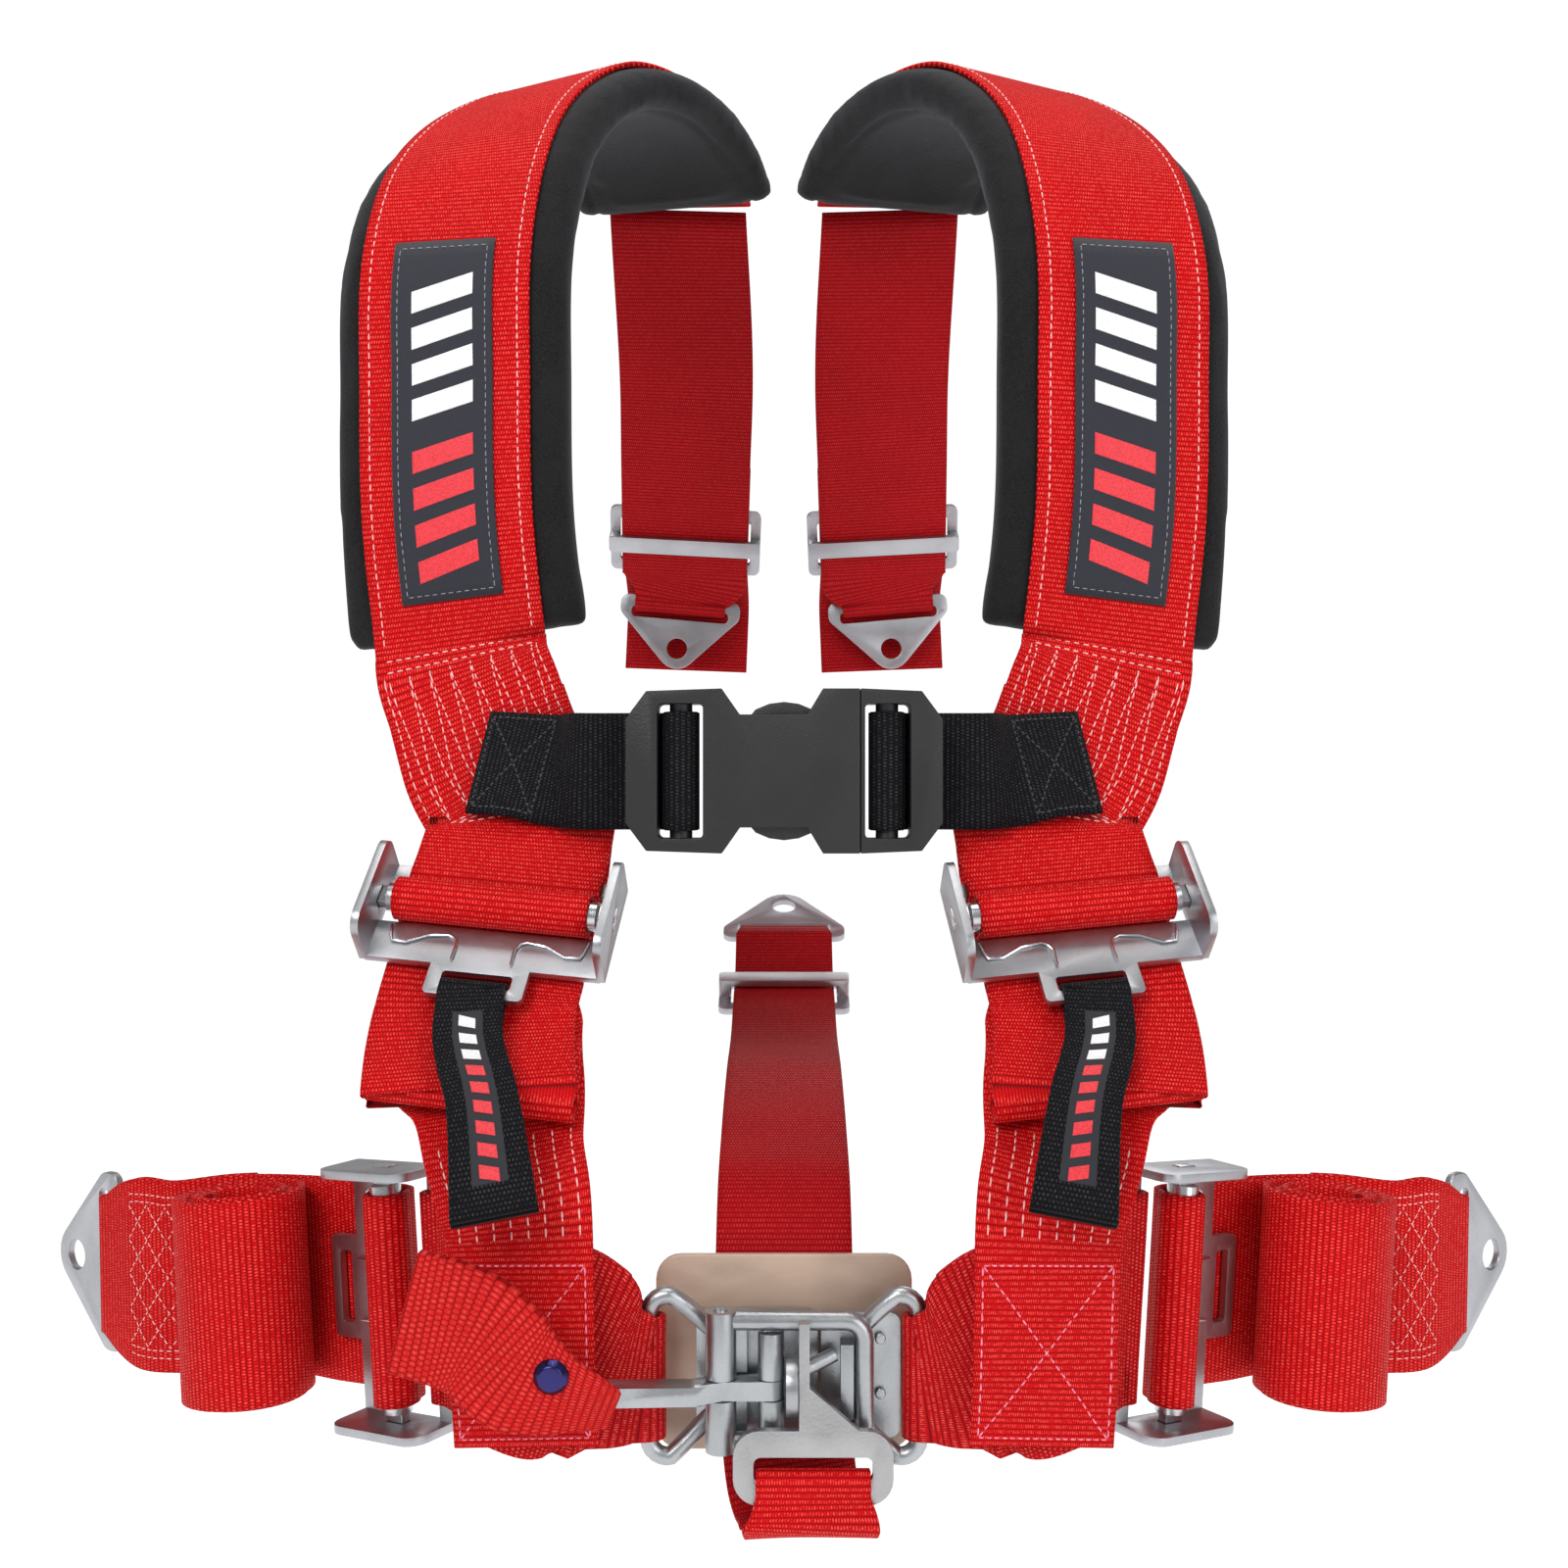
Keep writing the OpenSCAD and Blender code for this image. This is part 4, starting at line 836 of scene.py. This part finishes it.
tabLabel = {"from": 88, "step": 11, "wide": 5.5, "high": 0.35, "markHigh": 0.25, "markWide": 3}
for side, mirrored in sides:
    tag = "_" + side
    made = beltMesh("shoulder_belt" + tag, shoulderBelt, finishes["red"], mirrored, rumple=ripple(0.08, 2.2, 3))
    finishPiece(made, "harness", "red_webbing", "shoulder_webbing" + tag)
    edges, panel = shoulderStitches()
    sew("pad_edge_stitches" + tag, shoulderBelt, edges, "thread", mirrored)
    sew("chest_panel_stitches" + tag, shoulderBelt, panel, "thread", mirrored)

    made = beltMesh("rear_belt" + tag, rearBelt, finishes["shadedRed"], mirrored, rumple=ripple(0.1, 2.0, 5))
    finishPiece(made, "harness", "red_webbing", "rear_webbing" + tag)

    made = beltMesh("link_belt" + tag, linkBelt, finishes["red"], mirrored, rumple=ripple(0.1, 2.0, 9))
    finishPiece(made, "harness", "red_webbing", "link_webbing" + tag)
    sew("link_cross_stitches" + tag, linkBelt, boxCross(-34, 34, *linkPanel), "pinkThread", mirrored)
    sew("link_row_stitches" + tag, linkBelt, fan(8, -32, 30, linkPanel[1] + 8, rowsTop + 16), "thread", mirrored)

    made = beltMesh("lap_loop" + tag, lapInner, finishes["foldRed"], mirrored, rumple=ripple(0.12, 3.0, 12))
    finishPiece(made, "harness", "red_webbing", "lap_webbing_inner" + tag)

    made = beltMesh("lap_belt" + tag, lapOuter, finishes["red"], mirrored)
    finishPiece(made, "harness", "red_webbing", "lap_webbing_outer" + tag, "lap_roll" + tag)
    net = [[(u, outerFold), (u, outerDouble)] for u in (-32, -29, 29, 32)]
    for phase in (0, 1):
        for lane in range(4):
            low = -28 + lane * 14
            net.append([(low + 14 * ((k + phase) % 2), outerFold + (outerDouble - outerFold) * k / 5)
                        for k in range(6)])
    sew("lap_net_stitches" + tag, lapOuter, net, "thread", mirrored, pitch=3.0, radius=0.26)

    made = beltMesh("pull_tab_strap" + tag, tabBelt, finishes["black"], mirrored, columns=8)
    finishPiece(made, "pull_tab" + tag, "black_webbing", "pull_tab" + tag)

    made = beltMesh("sternum_belt" + tag, sternumBelt, finishes["black"], mirrored, columns=10)
    body = "harness" if side == "left" else "buckle_male"
    finishPiece(made, body, "black_webbing", "sternum_strap" + tag)
    box = [[(-20, 2), (-20, 29), (20, 29), (20, 2), (-20, 2)], [(-20, 2), (20, 29)], [(20, 2), (-20, 29)]]
    sew("sternum_box_stitches" + tag, sternumBelt, box, "blackThread", mirrored, body, "black_webbing",
        pitch=2.6, radius=0.4)

    # Patch on the pad, with plain racing bars in place of any mark
    made = beltMesh("pad_patch" + tag, patchBelt, finishes["patch"], mirrored, thickness=1.0, columns=8)
    finishPiece(made, "harness", "label_fabric", "pad_label" + tag)
    w, length = belts["patchWide"] / 2 - 3, patchBelt.length
    border = [[(-w, 3), (w, 3)], [(w, 3), (w, length - 3)], [(w, length - 3), (-w, length - 3)],
              [(-w, length - 3), (-w, 3)]]
    sew("patch_border_stitches" + tag, patchBelt, border, "greyThread", mirrored, slot="label_fabric",
        lift=0.5, pitch=3.4, radius=0.22)
    whiteBars = [slant(-14, 13, length - 24 - 15 * k, length - 15 - 15 * k, -7) for k in range(4)]
    redBars = [slant(-14, 13, 15 + 15 * k, 24 + 15 * k, -7) for k in range(4)]
    embroider("patch_bars_white" + tag, patchBelt, whiteBars, "whiteFloss", mirrored, "harness", 0.5)
    embroider("patch_bars_red" + tag, patchBelt, redBars, "redFloss", mirrored, "harness", 0.5)

    # Narrow label on the pull tab
    start, half, narrow = tabBelt.length - tabLabel["from"], tabLabel["wide"], tabLabel["markWide"]
    ground = [slant(-half, half, start + tabLabel["step"] * k, start + tabLabel["step"] * (k + 1), 0, 2)
              for k in range(7)]
    marks = [slant(-narrow, narrow, start + 4 + 8.5 * k, start + 9 + 8.5 * k, -2.4, 3) for k in range(9)]
    above = thick / 2 + tabLabel["high"]
    embroider("tab_label" + tag, tabBelt, ground, "patch", mirrored, "pull_tab" + tag, thick / 2, tabLabel["high"], -1)
    embroider("tab_marks_white" + tag, tabBelt, marks[:3], "whiteFloss", mirrored, "pull_tab" + tag, above,
              tabLabel["markHigh"], -1)
    embroider("tab_marks_red" + tag, tabBelt, marks[3:], "redFloss", mirrored, "pull_tab" + tag, above,
              tabLabel["markHigh"], -1)

made = beltMesh("crotch_belt", crotchBelt, finishes["shadedRed"], False, columns=12, rumple=ripple(0.1, 2.0, 21))
finishPiece(made, "harness", "red_webbing", "crotch_webbing")
made = beltMesh("crotch_fold", loopBelt, finishes["red"], False, columns=12)
finishPiece(made, "tongue", "red_webbing", "crotch_loop")
print("belts ready")


# Hardware: the solids' own shapes with their edges rounded
def rounded(node, material, width, slot, body):
    made = bpy.data.objects.new(node + "_finished", nodes[node].data.copy())
    bpy.context.scene.collection.objects.link(made)
    made.data.materials.clear()
    made.data.materials.append(finishes[material])
    bm = bmesh.new()
    bm.from_mesh(made.data)
    bmesh.ops.remove_doubles(bm, verts=bm.verts, dist=2e-6)
    bmesh.ops.dissolve_limit(bm, angle_limit=math.radians(1.2), verts=bm.verts, edges=bm.edges)
    bm.to_mesh(made.data)
    bm.free()
    for polygon in made.data.polygons:
        polygon.material_index = 0
    if width:
        modify(made, "BEVEL", width=width * 0.001, segments=3, limit_method="ANGLE",
               angle_limit=math.radians(32), harden_normals=False)
    made.data.shade_smooth()
    bpy.context.view_layer.objects.active = made
    made.select_set(True)
    bpy.ops.object.shade_smooth_by_angle(angle=math.radians(38))
    made.select_set(False)
    return finishPiece(made, body, slot, node)


bodyOf = {n: body for body, members in frame["record"]["behaviour"]["bodies"].items() for n in members}
hardware = {
    "adjuster_frame": ("steel", 0.7, "satin_steel"), "adjuster_bar": ("bright", 0.3, "bright_steel"),
    "adjuster_springs": ("bright", 0, "bright_steel"), "rear_slide": ("steel", 0.6, "satin_steel"),
    "bolt_plate": ("steel", 0.6, "satin_steel"), "crotch_slide": ("steel", 0.6, "satin_steel"),
    "latch_base": ("cast", 0.6, "satin_steel"), "latch_lever": ("cast", 0.6, "satin_steel"),
    "latch_bail": ("cast", 0.5, "satin_steel"), "latch_pivot_pin": ("bright", 0.2, "bright_steel"),
    "bail_pin": ("bright", 0.2, "bright_steel"), "link_plate": ("cast", 0.6, "satin_steel"),
    "link_plate_studs": ("bright", 0.2, "bright_steel"), "link_peg": ("cast", 0.4, "bright_steel"),
    "crotch_tongue": ("grainy", 0.6, "satin_steel"), "lever_tab_rivet": ("rivet", 0.4, "rivet_steel"),
    "latch_pad": ("leather", 0.8, "tan_pad"), "buckle_female": ("plastic", 1.2, "buckle_plastic"),
    "buckle_male": ("plastic", 1.2, "buckle_plastic"), "buckle_prong": ("plastic", 0.8, "buckle_plastic"),
}
for node in sorted(nodes):
    for key, (material, width, slot) in hardware.items():
        if node.startswith(key) or (key in node and key not in ("latch_pad", "bail_pin")):
            if nodes[node].hide_render:
                break
            rounded(node, material, width, slot, bodyOf[node])
            break
print("hardware ready")

flapPoints = ((-57, -33.5, 1, 13), (-66, -37.5, 5, 20), (-75, -39, 8, 28), (-86, -39, 13, 38), (-102, -36, 26, 42),
              (-126, -32, 33, 42))
flapRoute = smooth([station(put(latchSeat, p[:3]), (0.15, 0, 0.99), p[3]) for p in flapPoints], 4)
flap = beltMesh("lever_flap", Belt(flapRoute, 42), finishes["flapRed"], False, thickness=5, columns=10)
finishPiece(flap, "lever", "red_flap", "lever_tab")


# Stage, light and camera
stage = {"floor": -0.72, "size": 12, "white": (0.3, 0.3, 0.3, 1), "glow": 0.9}
bpy.ops.mesh.primitive_plane_add(size=stage["size"], location=(0, 0, stage["floor"]))
floor = bpy.context.object
floor.name = "floor"
paper = Graph("paleFloor", Roughness=0.9, Emission_Strength=stage["glow"], Emission_Color=(1, 1, 1, 1))
paper.shader.inputs["Base Color"].default_value = stage["white"]
floor.data.materials.append(paper.material)

world = bpy.data.worlds.new("studio")
bpy.context.scene.world = world
world.use_nodes = True
sky = world.node_tree
shine = sky.nodes["Background"]
shine.inputs["Color"].default_value = (1, 1, 1, 1)
rays = sky.nodes.new("ShaderNodeLightPath")
level = sky.nodes.new("ShaderNodeMapRange")
level.inputs["To Min"].default_value = 0.32
level.inputs["To Max"].default_value = 1.05
sky.links.new(rays.outputs["Is Camera Ray"], level.inputs["Value"])
sky.links.new(level.outputs[0], shine.inputs["Strength"])


def softLight(name, at, aim, size, power, tint=(1, 1, 1)):
    data = bpy.data.lights.new(name, "AREA")
    data.shape, data.size, data.size_y = "RECTANGLE", size[0], size[1]
    data.energy, data.color = power, tint
    obj = bpy.data.objects.new(name, data)
    bpy.context.scene.collection.objects.link(obj)
    obj.location = at
    obj.rotation_euler = (Vector(aim) - Vector(at)).to_track_quat("-Z", "Y").to_euler()
    return obj


softLight("keyLight", (-0.7, -1.5, 0.75), (0, 0, -0.3), (0.9, 0.9), 17)
softLight("fillLight", (1.1, -1.3, 0.1), (0, 0, -0.3), (0.9, 1.2), 8)
softLight("topLight", (0, -0.1, 1.1), (0, 0, -0.2), (1.1, 0.8), 8, (1, 0.97, 0.93))
softLight("rearLight", (0.2, 1.5, 0.4), (0, 0, -0.25), (1.2, 0.8), 6)

camera = bpy.data.objects.new("camera", bpy.data.cameras.new("camera"))
bpy.context.scene.collection.objects.link(camera)
camera.location = (0, -0.78, -0.315)
camera.rotation_euler = (math.radians(90), 0, 0)
camera.data.lens = 38.0
camera.data.sensor_width = 36
camera.data.clip_start = 0.01
bpy.context.scene.camera = camera
bpy.context.scene.view_settings.view_transform = "Standard"
